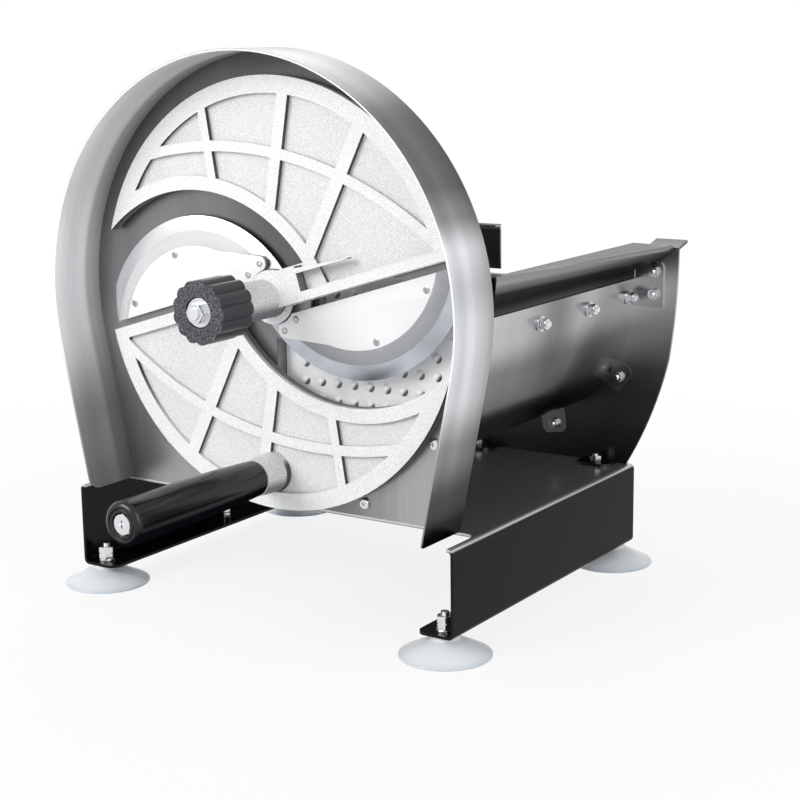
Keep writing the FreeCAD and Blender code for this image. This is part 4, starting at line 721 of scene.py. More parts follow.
class Shapes:
    """Small solids made with mesh operators, in millimetres along +z."""

    merge = 1e-5
    turn_steps = 18
    thread_depth = 0.6
    cross_width = 0.42
    cross_taper = (0.45, 0.7, 1.0)
    cross_spare = 1.0

    @classmethod
    def tidy(cls, bm: BMesh) -> BMesh:
        """Merge doubles and turn all faces outward."""
        bmesh.ops.remove_doubles(bm, verts=bm.verts, dist=cls.merge)
        bmesh.ops.recalc_face_normals(bm, faces=bm.faces)
        return bm

    @staticmethod
    def mesh(name: str, bm: BMesh) -> bpy.types.Mesh:
        """Return a new mesh made from bm, which is used up."""
        mesh = bpy.data.meshes.new(name)
        bm.to_mesh(mesh)
        bm.free()
        return mesh

    @staticmethod
    def round_off(bm: BMesh, rim: list[bmesh.types.BMEdge], width: float, steps: int) -> None:
        """Ease some edges to a width in so many steps."""
        bmesh.ops.bevel(bm, geom=rim, offset=width, offset_type="OFFSET", segments=steps, profile=0.5,
                        affect="EDGES", material=-1)

    @classmethod
    def threaded_rod(cls, radius: float, pitch: float, length: float) -> BMesh:
        """Turn a rod with a helical thread.

        Args:
            radius: outer radius.
            pitch: rise per turn.
            length: length from z = 0.

        Returns:
            A closed mesh.
        """
        bm = bmesh.new()
        verts = []
        for index in range(2 * int(length / pitch) + 7):
            reach = radius if index % 2 else radius - cls.thread_depth * pitch
            verts.append(bm.verts.new((reach, 0.0, (index / 2 - 2) * pitch)))
        edges = [bm.edges.new(pair) for pair in zip(verts, verts[1:])]
        bmesh.ops.spin(bm, geom=verts + edges, cent=(0, 0, 0), axis=(0, 0, 1),
                       dvec=(0, 0, pitch / cls.turn_steps), angle=math.tau, steps=cls.turn_steps,
                       use_merge=False, use_duplicate=False)
        bmesh.ops.remove_doubles(bm, verts=bm.verts, dist=cls.merge)
        for level, way in ((0.0, -1.0), (length, 1.0)):
            geom = bm.verts[:] + bm.edges[:] + bm.faces[:]
            bmesh.ops.bisect_plane(bm, geom=geom, dist=1e-6, plane_co=(0, 0, level), plane_no=(0, 0, way),
                                   clear_outer=True)
            rim = [edge for edge in bm.edges if edge.is_boundary and abs(edge.verts[0].co.z - level) < 1e-4]
            bmesh.ops.holes_fill(bm, edges=rim, sides=0)
        return cls.tidy(bm)

    @classmethod
    def screw_head(cls, size: Screw) -> BMesh:
        """Make a head from z = 0 down to -height, with its eased rim and any cross recess.

        Args:
            size: the screw's size; its head is set.

        Returns:
            A closed mesh.
        """
        sides, width, steps, recess = size.head.value
        neck = size.radius if size.head is Head.SUNK else size.head_r
        bm = bmesh.new()
        bmesh.ops.create_cone(bm, cap_ends=True, segments=sides, radius1=size.head_r, radius2=neck,
                              depth=size.head_h, matrix=Matrix.Translation((0, 0, -size.head_h / 2)))
        rim = [edge for edge in bm.edges if all(vert.co.z < -size.head_h * 0.9 for vert in edge.verts)]
        cls.round_off(bm, rim, width, steps)
        cls.tidy(bm)
        if recess:
            bm = cls.cut(bm, cls.cross_cutter(size.head_r * 0.5, size.head_h * recess, -size.head_h))
        return bm

    @classmethod
    def cross_cutter(cls, reach: float, depth: float, top: float) -> BMesh:
        """Tapered cross that cuts the recess of a screw head from below.

        Args:
            reach: half length of the cross at the surface.
            depth: depth of the recess.
            top: height of the surface, so the cross ends at top + depth.

        Returns:
            A closed mesh.
        """
        bm = bmesh.new()
        spare = cls.cross_spare
        for turn in (0.0, math.pi / 2):
            verts = bmesh.ops.create_cube(bm, size=1.0)["verts"]
            bmesh.ops.scale(bm, vec=(2 * reach, cls.cross_width * reach, depth + spare), verts=verts)
            bmesh.ops.translate(bm, vec=(0, 0, top + (depth - spare) / 2), verts=verts)
            inner = [vert for vert in verts if vert.co.z > top]
            bmesh.ops.scale(bm, vec=cls.cross_taper, verts=inner)
            bmesh.ops.rotate(bm, cent=(0, 0, 0), matrix=Matrix.Rotation(turn, 3, "Z"), verts=verts)
        bmesh.ops.recalc_face_normals(bm, faces=bm.faces)
        return bm

    @classmethod
    def cut(cls, body: BMesh, cutter: BMesh) -> BMesh:
        """Return body without cutter; both are used up."""
        objects = [bpy.data.objects.new(name, cls.mesh(name, bm))
                   for name, bm in (("cut_body", body), ("cut_tool", cutter))]
        for thing in objects:
            bpy.context.scene.collection.objects.link(thing)
        modifier = objects[0].modifiers.new("cut", "BOOLEAN")
        modifier.object = objects[1]
        modifier.solver = "EXACT"
        modifier.use_self = True
        bpy.context.view_layer.update()
        evaluated = objects[0].evaluated_get(bpy.context.evaluated_depsgraph_get())
        made = bpy.data.meshes.new_from_object(evaluated)
        result = bmesh.new()
        result.from_mesh(made)
        bpy.data.meshes.remove(made)
        for thing in objects:
            mesh = thing.data
            bpy.data.objects.remove(thing)
            bpy.data.meshes.remove(mesh)
        return cls.tidy(result)

    @staticmethod
    def place(bm: BMesh, base: Colour, axis: Colour) -> BMesh:
        """Turn +z to axis and move the mesh's zero point to base."""
        turn = Vector(UPWARD).rotation_difference(Vector(axis)).to_matrix().to_4x4()
        bmesh.ops.transform(bm, matrix=Matrix.Translation(base) @ turn, verts=bm.verts)
        return bm

    @classmethod
    def join(cls, parts: list[BMesh]) -> BMesh:
        """Return one mesh that holds all parts; the parts are used up."""
        whole = bmesh.new()
        for part in parts:
            mesh = cls.mesh("part", part)
            whole.from_mesh(mesh)
            bpy.data.meshes.remove(mesh)
        return whole


# The machine


@dataclass(frozen=True)
class Edge:
    """How a carried-over node is eased and finished.

    The width of the eased edge is in millimetres, segments are the faces across
    it, and edges sharper than angle, in degrees, are eased.
    """

    node: str
    finish: Finish
    width: float
    segments: int = 2
    angle: float = 32.0


class Machine:
    """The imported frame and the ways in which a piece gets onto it."""

    axis = Vector((-0.00775, -0.04775, 0.215))
    disc_turn = math.radians(17.0)
    blade_c = (-70.2, -17.3)
    outward_range = (0.1, 0.3)
    smooth_angle = 35.0
    merge = 2e-6
    sliver = 1e-6
    flat_angle = math.radians(0.4)

    def __init__(self, frame: dict[str, object]) -> None:
        """Read what the scene needs from the frame.
        """
        self.nodes: dict[str, Piece] = frame["nodes"]
        record = frame["record"]
        self.body_of = {node: body for body, nodes in record["behaviour"]["bodies"].items() for node in nodes}
        self.slot_of = {part["node"]: part["material_slot"] for part in record["subparts"]}
        self.left = set(self.nodes)

    @classmethod
    def from_axis(cls, w: Wiring, place: Socket) -> Socket:
        """Return the way from the disc axis to a place, level with the disc."""
        return w.vector("MULTIPLY", w.vector("SUBTRACT", place, tuple(cls.axis)), (1.0, 0.0, 1.0))

    @classmethod
    def outward(cls, w: Wiring, place: Socket) -> Socket:
        """Return 1 where a face looks away from the disc axis and 0 where it looks to it."""
        arm = w.vector("NORMALIZE", cls.from_axis(w, place))
        return w.ease(w.measure("DOT_PRODUCT", w.coordinates("Normal"), arm), *cls.outward_range)

    @classmethod
    def from_blade_centre(cls, w: Wiring, place: Socket) -> Socket:
        """Return the distance of a place from the centre of its own half's blade."""
        flat = cls.from_axis(w, place)
        upper = w.math("GREATER_THAN", w.measure("DOT_PRODUCT", flat, cls.on_disc(0.0, 0.0, 1.0)))
        u, v = (value * MM for value in cls.blade_c)
        own, other = (w.measure("DISTANCE", flat, cls.on_disc(side * u, 0.0, side * v))
                      for side in (1.0, -1.0))
        return w.scaled(own, upper, w.math("MULTIPLY", other, w.math("SUBTRACT", 1.0, upper)))

    @classmethod
    def on_disc(cls, u: float, y: float, v: float) -> Colour:
        """Return the place of a point given in the turned frame of the disc."""
        c, s = math.cos(cls.disc_turn), math.sin(cls.disc_turn)
        return (u * c - v * s, y, u * s + v * c)

    def piece(self, name: str, bm: BMesh, node: str, finish: Finish, instead: bool = True) -> Piece:
        """Make a new piece.

        Args:
            name: name of the piece.
            bm: its mesh in millimetres from the disc axis; it is used up.
            node: the carried-over node whose body it takes.
            finish: its finish.
            instead: whether it replaces that node or sits beside it.

        Returns:
            The new object.
        """
        bmesh.ops.transform(bm, matrix=Matrix.Translation(self.axis) @ Matrix.Scale(MM, 4), verts=bm.verts)
        return self.settle(name, Shapes.mesh(name, bm), node, finish, self.smooth_angle, instead)

    def settle(self, name: str, mesh: bpy.types.Mesh, node: str, finish: Finish, smooth: float,
               instead: bool = True) -> Piece:
        """Link a mesh as a piece; edges flatter than smooth are shaded smooth; see piece."""
        mesh.polygons.foreach_set("use_smooth", [True] * len(mesh.polygons))
        mesh.set_sharp_from_angle(angle=math.radians(smooth))
        mesh.materials.clear()
        mesh.materials.append(finish.material())
        thing = bpy.data.objects.new(name, mesh)
        bpy.context.scene.collection.objects.link(thing)
        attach(thing, self.body_of[node])
        if instead:
            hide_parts(node)
            self.left.discard(node)
        LOG.info("%s: %d faces, on %s", name, len(mesh.polygons), node)
        return thing

    def ease(self, edge: Edge) -> Piece:
        """Replace a node by a copy with merged corners and eased edges."""
        bm = bmesh.new()
        bm.from_mesh(self.nodes[edge.node].data)
        bmesh.ops.remove_doubles(bm, verts=bm.verts, dist=self.merge)
        bmesh.ops.dissolve_degenerate(bm, edges=bm.edges, dist=self.sliver)
        bmesh.ops.dissolve_limit(bm, angle_limit=self.flat_angle, verts=bm.verts, edges=bm.edges)
        name = edge.node + "_eased"
        mesh = Shapes.mesh(name, bm)
        for layer in ("custom_normal", "sharp_edge", "sharp_face"):
            if layer in mesh.attributes:
                mesh.attributes.remove(mesh.attributes[layer])
        thing = self.settle(name, mesh, edge.node, edge.finish, 180.0)
        bevel = thing.modifiers.new("eased_edges", "BEVEL")
        bevel.width = edge.width * MM
        bevel.segments = edge.segments
        bevel.limit_method = "ANGLE"
        bevel.angle_limit = math.radians(edge.angle)
        bevel.use_clamp_overlap = True
        bevel.harden_normals = True
        bevel.miter_outer = "MITER_ARC"
        return thing

    def bolts(self, name: str, node: str, bolts: list[Bolt], finish: Finish) -> Piece:
        """Replace a node of equal screws by threaded ones with real heads.

        Args:
            name: name of the piece.
            node: the node that it replaces.
            bolts: the screws.
            finish: their finish.

        Returns:
            The new object.
        """
        parts = []
        for bolt in bolts:
            size = bolt.size
            shank = Shapes.threaded_rod(size.radius, size.pitch, bolt.length)
            parts.append(Shapes.place(shank, bolt.base, bolt.axis))
            if size.head:
                parts.append(Shapes.place(Shapes.screw_head(size), bolt.base, bolt.axis))
        return self.piece(name, Shapes.join(parts), node, finish)


# Finishes of this machine

DISC_Y = Machine.axis.y
GUARD_Y = (DISC_Y - 34.3 * MM, DISC_Y + 11 * MM)
GUARD_Z = (0.07, 0.38)
SATIN_WHITE = (0.85, 0.855, 0.865)
HOLDER_Y = DISC_Y + 1.1 * MM
NO_RIM = 1.0

# turned finishes get a painted highlight on their edges
BRIGHT = Turned("bright_plated_steel", (0.72, 0.73, 0.75), 0.2)
MACHINED = Turned("machined_steel", (0.6, 0.61, 0.63), 0.28, Brush.ROUND_Y, 0.35)
BRONZE = Turned("bronze_bush", (0.6, 0.42, 0.2), 0.32, Brush.ROUND_Y, 0.3)
ZINC_SCREW = Turned("zinc_plated_screw", (0.4, 0.41, 0.42), 0.35)
# the blade's lit tone is a painted highlight higher up the disc
BLADE = Ground("ground_blade_steel", (0.5, 0.53, 0.58), 0.24, Brush.EVEN, 0.2)
# the third and fourth colours of a casting are painted shade on its walls
HOUSING = Casting("grey_housing_casting", (0.5, 0.51, 0.53), (0.42, 0.43, 0.45), (0.4, 0.41, 0.43),
                  (0.36, 0.37, 0.39), DISC_Y + 20 * MM, 20 * MM, 0.5)
SAND_WHITE = Casting("sandblasted_white_casting", (0.86, 0.865, 0.87), (0.8, 0.81, 0.82), (0.2, 0.21, 0.22),
                     (0.07, 0.075, 0.08), DISC_Y, 3 * MM)
# a plate's second colour is painted shade on the slope's faces turned to the lower right
HOLDER_WHITE = Plate("holder_satin_white", SATIN_WHITE, (0.42, 0.43, 0.45), (0.72, 0.73, 0.74),
                     HOLDER_Y, 67 * MM)
TONGUE_WHITE = Plate("tongue_satin_white", SATIN_WHITE, (0.2, 0.21, 0.22), (0.4, 0.41, 0.42),
                     HOLDER_Y, NO_RIM)
KNOB_BLACK = Moulded("graphite_knob", (0.014, 0.016, 0.02), 0.4, 0.1, 0.35,
                     speckle=(0.2, 0.21, 0.23), rough_from=DISC_Y - 43 * MM)
GRIP_BLACK = Moulded("gloss_black_grip", (0.004, 0.004, 0.006), 0.2, 0.0, 0.05, gloss=0.45, under_gloss=0.0)
HANDLE_BLACK = Moulded("satin_black_handle", (0.02, 0.021, 0.023), 0.4, 0.1, 0.2)
PUSH_WHITE = Moulded("white_pusher_plastic", (0.94, 0.95, 0.96), 0.38, 0.1, 0.12, shadow=(0.16, 0.17, 0.18))
STRIP_WHITE = Moulded("white_strip_plastic", (0.74, 0.75, 0.76), 0.45, 0.0, 0.15)
CUP = SoftCup("clear_soft_cup", (0.93, 0.96, 0.98))

# the bands of these sheet finishes are painted reflections and painted shade; their inner tones are painted
# tones for faces turned to the disc axis
GUARD = Steel(
    "brushed_guard_band", (0.82, 0.835, 0.86), 0.3, Brush.ROUND_Y, 0.4,
    painted_light_bands=(PaintedLightBand(BACKWARD, *GUARD_Y, ((0.0, 1.0), (0.2, 0.85), (0.42, 1.0), (0.7, 0.75), (1.0, 0.5))),
            PaintedLightBand(UPWARD, *GUARD_Z,
                  ((0.0, 0.03), (0.1, 0.06), (0.2, 0.32), (0.32, 0.9), (0.45, 0.95), (0.53, 0.78), (0.6, 1.0),
                   (0.67, 0.34), (0.73, 0.18), (0.9, 0.15), (1.0, 0.25)))),
    inner_painted_tone=(0.93, 0.94, 0.96),
    inner_painted_light_bands=(PaintedLightBand(BACKWARD, *GUARD_Y, ((0.0, 1.0), (0.3, 0.85), (0.6, 1.0), (0.72, 0.6), (1.0, 0.4))),
                  PaintedLightBand(UPWARD, *GUARD_Z,
                        ((0.0, 0.2), (0.16, 0.3), (0.4, 0.9), (0.58, 1.0), (0.74, 0.85), (0.87, 0.85),
                         (1.0, 0.8)))),
    inner_metallic=0.12)
BACK = Steel(
    "brushed_back_plate", (0.6, 0.6, 0.61), 0.32, Brush.ALONG_Z, 0.45,
    painted_light_bands=(PaintedLightBand(ACROSS, -0.16, 0.15,
                  ((0.0, 0.85), (0.12, 0.7), (0.3, 0.65), (0.5, 0.38), (0.62, 0.36), (0.85, 0.75),
                   (1.0, 0.85))),
            PaintedLightBand(UPWARD, 0.07, 0.37, ((0.0, 0.9), (0.3, 1.0), (0.5, 0.6), (0.75, 0.45), (1.0, 0.4)))))
DOUBLER = Steel("rolled_doubler", (0.3, 0.305, 0.31), 0.34, Brush.ALONG_X, 0.35)
BASE = Steel(
    "dark_mirror_base", (0.6, 0.605, 0.615), 0.2, Brush.ALONG_Y, 0.3,
    painted_light_bands=(PaintedLightBand(UPWARD, 0.066, 0.0732,
                  ((0.0, 0.018), (0.66, 0.022), (0.84, 1.0), (0.95, 0.9), (1.0, 0.28))),),
    relief=0.1, metallic=0.7, grazing=0.5)
TROUGH = Steel(
    "polished_trough", (0.58, 0.585, 0.595), 0.22, Brush.ALONG_Z, 0.35,
    painted_light_bands=(PaintedLightBand(UPWARD, 0.1, 0.225, ((0.0, 0.1), (0.3, 0.12), (0.55, 0.3), (0.75, 0.9), (1.0, 1.0))),
            PaintedLightBand(BACKWARD, -0.035, 0.175, ((0.0, 1.0), (0.2, 0.85), (0.45, 0.36), (0.62, 0.8), (1.0, 1.0)))),
    inner_painted_tone=(0.3, 0.305, 0.31), relief=0.15, front_tone=(0.5, 0.5, 0.5))
RAIL = Steel(
    "dark_rail", (0.32, 0.324, 0.333), 0.26, Brush.ALONG_Y, 0.3,
    painted_light_bands=(PaintedLightBand(UPWARD, 0.205, 0.2385,
                  ((0.0, 0.4), (0.4, 0.07), (0.6, 0.1), (0.72, 0.5), (0.84, 1.0), (0.93, 0.85),
                   (1.0, 0.15))),),
    relief=0.1, grazing=0.45)
REAR = Steel(
    "polished_rear_plate", (0.7, 0.685, 0.675), 0.3, Brush.ALONG_X, 0.3,
    painted_light_bands=(PaintedLightBand(UPWARD, 0.075, 0.24, ((0.0, 0.12), (0.3, 0.3), (0.6, 0.9), (0.8, 1.0), (1.0, 0.2))),),
    relief=0.1, grazing=0.5)
CARRIAGE = Steel(
    "dark_carriage", (0.6, 0.605, 0.62), 0.25, Brush.ALONG_X, 0.3,
    painted_light_bands=(PaintedLightBand(UPWARD, 0.257, 0.2652, ((0.0, 0.34), (0.5, 0.3), (0.7, 1.0), (0.85, 0.8), (1.0, 0.25))),),
    grazing=0.4)


# Sub-assemblies


HALVES = ("upper", "lower")
CORNERS = ("front_left", "front_right", "rear_left", "rear_right")


@dataclass
class Assembly:
    """A sub-assembly with the edges of its carried-over nodes."""

    edges: tuple[Edge, ...] = ()

    def build(self, machine: Machine) -> None:
        """Make the pieces of its own, where it has any."""

    def dress(self, machine: Machine) -> None:
        """Ease and finish the carried-over nodes."""
        for edge in self.edges:
            machine.ease(edge)


@dataclass
class Base(Assembly):
    """Bent sheet table with its side bolts."""

    edges: tuple[Edge, ...] = (Edge("base_frame", BASE, 0.5), Edge("side_bolt_nuts", BRIGHT, 0.3))
    bolt_x: float = 141.0
    bolt_y: float = 115.0
    bolt_z: float = -201.2
    bolt_length: float = 13.0

    def build(self, machine: Machine) -> None:
        """Make the side bolts."""
        bolts = [Bolt((side * self.bolt_x, self.bolt_y, self.bolt_z), UPWARD, self.bolt_length, SIDE_BOLT)
                 for side in (-1, 1)]
        machine.bolts("side_bolts_threaded", "side_bolts", bolts, BRIGHT)


@dataclass
class Feet(Assembly):
    """Suction cups with studs and nuts."""

    edges: tuple[Edge, ...] = tuple(
        edge for corner in CORNERS
        for edge in (Edge("foot_cup_" + corner, CUP, 0.5, 3), Edge("foot_nuts_" + corner, BRIGHT, 0.35)))
    x: float = 143.5
    front_y: float = -16.0
    rear_y: float = 214.0
    stud_z: float = -207.0
    stud_length: float = 21.0

    def build(self, machine: Machine) -> None:
        """Turn the four studs."""
        for corner in CORNERS:
            y = self.front_y if "front" in corner else self.rear_y
            x = -self.x if "left" in corner else self.x
            stud = Bolt((x, y, self.stud_z), UPWARD, self.stud_length, STUD)
            machine.bolts("stud_threaded_" + corner, "foot_stud_" + corner, [stud], BRIGHT)


@dataclass
class Guard(Assembly):
    """Arched band, back plate and doubler; its screws are given as radius and angle."""

    edges: tuple[Edge, ...] = (
        Edge("hood_band", GUARD, 0.35), Edge("back_plate", BACK, 0.3), Edge("doubler_plate", DOUBLER, 0.3),
        Edge("plate_nuts", BRIGHT, 0.25), Edge("hood_bolt_nuts", BRIGHT, 0.3))
    screws: tuple[Pair, ...] = ((148.4, -35.7), (148.6, -63.6), (149.3, -133.1))
    screw_y: float = 9.5
    screw_length: float = 12.0
    bolts_x: tuple[float, ...] = (-110.0, 0.0, 110.0)
    bolt_y: float = 21.0
    bolt_z: float = -144.0
    bolt_length: float = 9.4

    def build(self, machine: Machine) -> None:
        """Make the cross-recessed screws and the foot bolts."""
        bolts = []
        for radius, angle in self.screws:
            x, z = arc((0.0, 0.0), radius, angle)
            bolts.append(Bolt((x, self.screw_y, z), BACKWARD, self.screw_length, SHEET_SCREW))
        machine.bolts("plate_screws_cross", "plate_screws", bolts, BRIGHT)
        bolts = [Bolt((x, self.bolt_y, self.bolt_z), UPWARD, self.bolt_length, FOOT_BOLT)
                 for x in self.bolts_x]
        machine.bolts("hood_bolts_threaded", "hood_bolts", bolts, BRIGHT)


@dataclass
class Trough(Assembly):
    """Feed trough, rail, guide strip and rear plate; tabs are given as angle and radius."""

    edges: tuple[Edge, ...] = (
        Edge("feed_trough", TROUGH, 0.3), Edge("rail", RAIL, 0.35), Edge("guide_strip", STRIP_WHITE, 0.5),
        Edge("rear_plate", REAR, 0.4), Edge("rail_nuts", BRIGHT, 0.3), Edge("tab_nuts", BRIGHT, 0.3),
        Edge("rear_foot_nuts", BRIGHT, 0.3))
    rail_y: tuple[float, ...] = (80.0, 148.0, 208.0)
    rail_z: float = -16.4
    rail_head_x: float = 150.96
    rail_length: float = 14.0
    rear_y: float = 224.0
    tab_length: float = 8.5
    round_c: Pair = (78.71, -35.87)
    tabs: tuple[Pair, ...] = ((-32.1, 77.5), (-80.7, 82.7))
    top_tab_x: float = 171.5
    top_tab_z: tuple[float, ...] = (1.5, -14.6)
    foot_x: tuple[float, ...] = (30.0, 131.0)
    foot_y: float = 212.0
    foot_z: float = -144.0
    foot_length: float = 10.0

    def build(self, machine: Machine) -> None:
        """Make the threaded bolts."""
        bolts = [Bolt((self.rail_head_x, y, self.rail_z), ACROSS, self.rail_length, SHEET_SCREW)
                 for y in self.rail_y]
        machine.bolts("rail_bolts_threaded", "rail_bolts", bolts, BRIGHT)
        places = [arc(self.round_c, reach, angle) for angle, reach in self.tabs]
        places += [(self.top_tab_x, z) for z in self.top_tab_z]
        bolts = [Bolt((x, self.rear_y, z), FORWARD, self.tab_length, SHEET_SCREW) for x, z in places]
        machine.bolts("tab_bolts_threaded", "tab_bolts", bolts, BRIGHT)
        bolts = [Bolt((x, self.foot_y, self.foot_z), UPWARD, self.foot_length, FOOT_BOLT)
                 for x in self.foot_x]
        machine.bolts("rear_bolts_threaded", "rear_foot_bolts", bolts, BRIGHT)


@dataclass
class Disc(Assembly):
    """Casting, blades and holder plates with their tongues and countersunk screws."""

    edges: tuple[Edge, ...] = (Edge("thickness_casting", SAND_WHITE, 0.7, 3),) + tuple(
        edge for half in HALVES
        for edge in (Edge("blade_holder_" + half, HOLDER_WHITE, 0.25),
                     Edge("blade_" + half, BLADE, 0.08, 1, 40.0)))
    edge_ring: float = 63.5
    edge_angles: tuple[float, ...] = (42.5, 92.0, 141.0)
    edge_seat_y: float = 2.2
    edge_end_y: float = 6.0
    hub_ring: float = 23.6
    hub_angles: tuple[float, ...] = (97.0, 128.0)
    hub_seat_y: float = 2.1
    hub_end_y: float = 8.5
    slot: float = 14.0
    hub_clear_r: float = 18.7
    hub_clear_end: float = 99.0
    tongue_r: float = 4.85
    tongue_start: float = -80.0
    tongue_sweep: float = 151.0
    tongue_y: Pair = (0.95, 4.0)
    tongue_root: tuple[Pair, ...] = ((-36.7, 40.7), (-38.0, 36.0), (-24.0, 14.1))
    tongue_edge: float = 0.2

    def tongue(self, machine: Machine, half: str) -> None:
        """Make the tongue that joins a holder plate to its lug at the hub.

        Args:
            machine: the machine.
            half: upper or lower.
        """
        side = 1 if half == "upper" else -1
        start = math.degrees(math.pi - math.asin(self.slot / self.hub_clear_r))
        lug = arc((0.0, 0.0), self.hub_ring, self.hub_angles[0])
        outline = [arc((0.0, 0.0), self.hub_clear_r, start + (self.hub_clear_end - start) * k / 4)
                   for k in range(5)]
        outline += [arc(lug, self.tongue_r, self.tongue_start + self.tongue_sweep * k / 10)
                    for k in range(11)]
        outline += self.tongue_root
        bm = bmesh.new()
        front, rear = self.tongue_y
        verts = [bm.verts.new(machine.on_disc(side * u, rear, side * v)) for u, v in outline]
        made = bmesh.ops.extrude_face_region(bm, geom=[bm.faces.new(verts)])
        moved = [item for item in made["geom"] if isinstance(item, bmesh.types.BMVert)]
        bmesh.ops.translate(bm, vec=(0, front - rear, 0), verts=moved)
        rim = [edge for edge in bm.edges if all(vert in moved for vert in edge.verts)]
        Shapes.round_off(bm, rim, self.tongue_edge, 2)
        machine.piece("holder_tongue_" + half, Shapes.tidy(bm), "blade_holder_" + half, TONGUE_WHITE, False)

    def build(self, machine: Machine) -> None:
        """Make the tongues and the ten countersunk screws with cross recesses."""
        for half in HALVES:
            self.tongue(machine, half)
        bolts = []
        for centre, ring, angles, seat, end in (
                (machine.blade_c, self.edge_ring, self.edge_angles, self.edge_seat_y, self.edge_end_y),
                ((0.0, 0.0), self.hub_ring, self.hub_angles, self.hub_seat_y, self.hub_end_y)):
            for angle in angles:
                u, v = arc(centre, ring, angle)
                for side in (1, -1):
                    base = machine.on_disc(side * u, seat, side * v)
                    bolts.append(Bolt(base, BACKWARD, end - seat, BLADE_SCREW))
        machine.bolts("blade_screws_cross", "blade_screws", bolts, ZINC_SCREW)


@dataclass
class Drive(Assembly):
    """Shaft, bushes, housing and the adjusting screw."""

    edges: tuple[Edge, ...] = (
        *(Edge(node, MACHINED, 0.3)
          for node in ("drive_shaft", "drive_pins", "shaft_end_washer", "adjusting_screw", "boss_retainer")),
        *(Edge(node, BRIGHT, 0.2) for node in ("shaft_end_nut", "housing_screws", "retainer_screws")),
        *(Edge(node, BRONZE, 0.3) for node in ("front_bush", "rear_bush")),
        Edge("bearing_housing", HOUSING, 0.8, 3))


@dataclass
class Knob(Assembly):
    """Fluted adjusting knob with its nut and washer."""

    edges: tuple[Edge, ...] = (Edge("adjusting_knob", KNOB_BLACK, 0.7, 3, 40.0),
                               Edge("knob_washer", BRIGHT, 0.2), Edge("knob_nut", BRIGHT, 0.4))


@dataclass
class Crank(Assembly):
    """Grip on its spindle with the cross-recessed end screw."""

    edges: tuple[Edge, ...] = (Edge("handle_grip", GRIP_BLACK, 0.6, 3), Edge("handle_spindle", MACHINED, 0.3),
                               Edge("grip_washer", BRIGHT, 0.2))
    u: float = -38.0
    v: float = -112.8
    screw_y: float = -144.7
    screw_length: float = 13.7

    def build(self, machine: Machine) -> None:
        """Make the end screw of the spindle."""
        screw = Bolt(machine.on_disc(self.u, self.screw_y, self.v), BACKWARD, self.screw_length, GRIP_SCREW)
        machine.bolts("grip_screw_cross", "grip_screw", [screw], BRIGHT)


@dataclass
class Pusher(Assembly):
    """Domed face, sheet carriage and bow handle."""

    edges: tuple[Edge, ...] = (Edge("pusher_face", PUSH_WHITE, 0.4), Edge("pusher_carriage", CARRIAGE, 0.3),
                               Edge("pusher_handle", HANDLE_BLACK, 0.6, 3))


def arc(centre: Pair, radius: float, angle: float) -> Pair:
    """Return the point of a circle at an angle in degrees."""
    a = math.radians(angle)
    return (centre[0] + radius * math.cos(a), centre[1] + radius * math.sin(a))


# Studio


@dataclass(frozen=True)
class Lamp:
    """A soft square lamp aimed at the machine."""

    name: str
    place: Colour
    size: float
    power: float


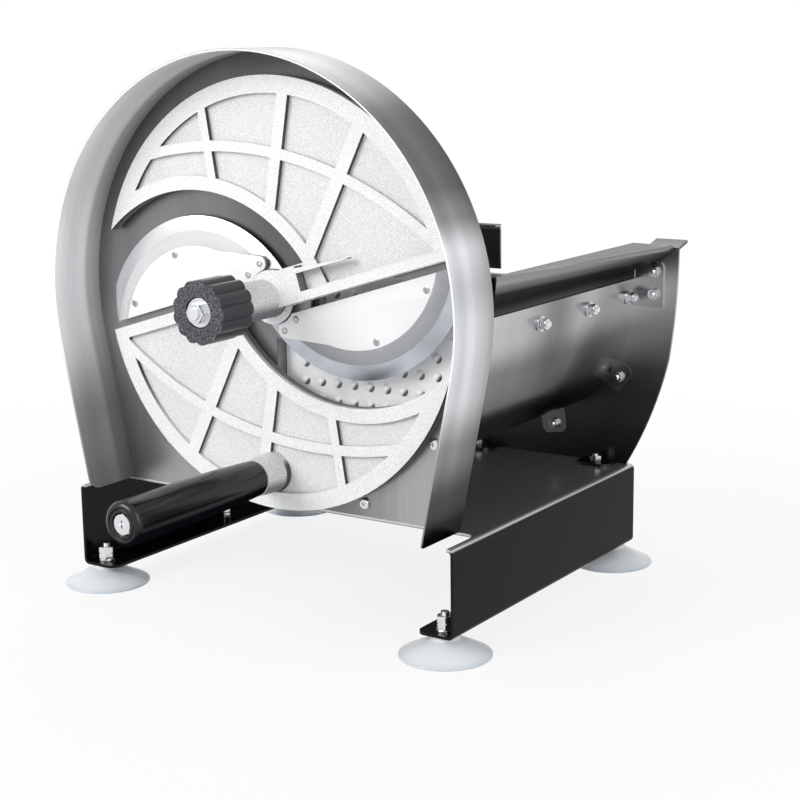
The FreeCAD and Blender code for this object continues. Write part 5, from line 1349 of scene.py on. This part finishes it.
@dataclass
class Studio:
    """Camera, lamps, white surroundings and the floor, in metres, degrees and watts."""

    camera_place: Colour = (0.68605, -0.93685, 0.3857)
    turn: float = 33.70
    tilt: float = 12.09
    roll: float = -0.75
    lens: float = 77.71
    sensor: float = 36.0
    aim: Colour = (0.0, 0.0, 0.18)
    white: Colour = (1.0, 1.0, 1.0)
    ambient: float = 0.56
    floor_size: float = 4.0
    floor_tone: Colour = (0.86, 0.86, 0.86)
    floor_roughness: float = 0.9
    floor_keep: float = 0.16
    floor_fade: Pair = (0.3, 0.8)
    lamps: tuple[Lamp, ...] = (
        Lamp("key_lamp", (-0.9, -1.7, 1.1), 1.1, 27.0),
        Lamp("fill_lamp", (1.6, -0.9, 1.0), 1.4, 11.0),
        Lamp("rim_lamp", (-0.8, 1.6, 1.4), 1.2, 8.0))

    @staticmethod
    def plainly_seen(w: Wiring) -> Socket:
        """Return 1 for rays that show the background: camera, glossy and transmission."""
        path = w.add("ShaderNodeLightPath").outputs
        seen = w.math("MAXIMUM", path["Is Camera Ray"], path["Is Glossy Ray"])
        return w.math("MAXIMUM", seen, path["Is Transmission Ray"])

    def camera(self) -> None:
        """Set the camera to the photograph's viewing angle."""
        a, e, r = (math.radians(value) for value in (self.turn, self.tilt, self.roll))
        back = Vector((math.sin(a) * math.cos(e), -math.cos(a) * math.cos(e), math.sin(e)))
        right = Vector((math.cos(a), math.sin(a), 0.0))
        up = back.cross(right)
        across = math.cos(r) * right + math.sin(r) * up
        upward = -math.sin(r) * right + math.cos(r) * up
        data = bpy.data.cameras.new("camera")
        data.lens = self.lens
        data.sensor_width = self.sensor
        thing = bpy.data.objects.new("camera", data)
        turned = Matrix((across, upward, back)).transposed().to_4x4()
        thing.matrix_world = Matrix.Translation(self.camera_place) @ turned
        bpy.context.scene.collection.objects.link(thing)
        bpy.context.scene.camera = thing

    def light(self) -> None:
        """Hang the soft lamps."""
        for lamp in self.lamps:
            data = bpy.data.lights.new(lamp.name, "AREA")
            data.shape = "SQUARE"
            data.size = lamp.size
            data.energy = lamp.power
            thing = bpy.data.objects.new(lamp.name, data)
            thing.location = lamp.place
            way = Vector(self.aim) - Vector(lamp.place)
            thing.rotation_euler = way.to_track_quat("-Z", "Y").to_euler()
            bpy.context.scene.collection.objects.link(thing)

    def surround(self) -> None:
        """Make the world white where it is seen and soft grey as light."""
        world = bpy.data.worlds.new("surroundings")
        world.use_nodes = True
        w = Wiring(world.node_tree)
        nodes = world.node_tree.nodes
        plain = nodes["Background"]
        w.fill(plain, {"Color": self.white, "Strength": self.ambient})
        shown = w.add("ShaderNodeBackground", {"Color": self.white, "Strength": 1.0})
        mixed = w.add("ShaderNodeMixShader",
                      {0: self.plainly_seen(w), 1: plain.outputs[0], 2: shown.outputs[0]})
        w.feed(nodes["World Output"].inputs["Surface"], mixed.outputs[0])
        bpy.context.scene.world = world

    def floor(self) -> None:
        """Lay the pale floor that keeps a faint shadow."""
        bm = bmesh.new()
        bmesh.ops.create_grid(bm, x_segments=2, y_segments=2, size=self.floor_size)
        thing = bpy.data.objects.new("floor", Shapes.mesh("floor", bm))
        bpy.context.scene.collection.objects.link(thing)
        material = bpy.data.materials.new("pale_floor")
        material.use_nodes = True
        w = Wiring(material.node_tree)
        nodes = material.node_tree.nodes
        matt = nodes["Principled BSDF"]
        w.fill(matt, {"Base Color": self.floor_tone, "Roughness": self.floor_roughness})
        glow = w.add("ShaderNodeEmission")
        far = w.ease(w.measure("LENGTH", w.coordinates()), *self.floor_fade)
        white = w.scaled(far, self.floor_keep, 1.0 - self.floor_keep)
        share = w.math("MULTIPLY", self.plainly_seen(w), white)
        mixed = w.add("ShaderNodeMixShader", {0: share, 1: matt.outputs[0], 2: glow.outputs[0]})
        w.feed(nodes["Material Output"].inputs["Surface"], mixed.outputs[0])
        thing.data.materials.append(material)

    def build(self) -> None:
        """Set up camera, lamps, surroundings and floor."""
        self.camera()
        self.light()
        self.surround()
        self.floor()
        bpy.context.scene.view_settings.view_transform = "Standard"


def main() -> None:
    """Build every sub-assembly in order."""
    logging.basicConfig(level=logging.INFO, format="%(name)s: %(message)s")
    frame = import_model()
    machine = Machine(frame)
    assemblies = (Base(), Feet(), Guard(), Trough(), Disc(), Drive(), Knob(), Crank(), Pusher())
    for assembly in assemblies:
        assembly.build(machine)
    for assembly in assemblies:
        assembly.dress(machine)
        LOG.info("dressed %s", type(assembly).__name__)
    if machine.left:
        LOG.warning("pieces without a finish: %s", sorted(machine.left))
    Studio().build()


if __name__ == "__main__":
    main()
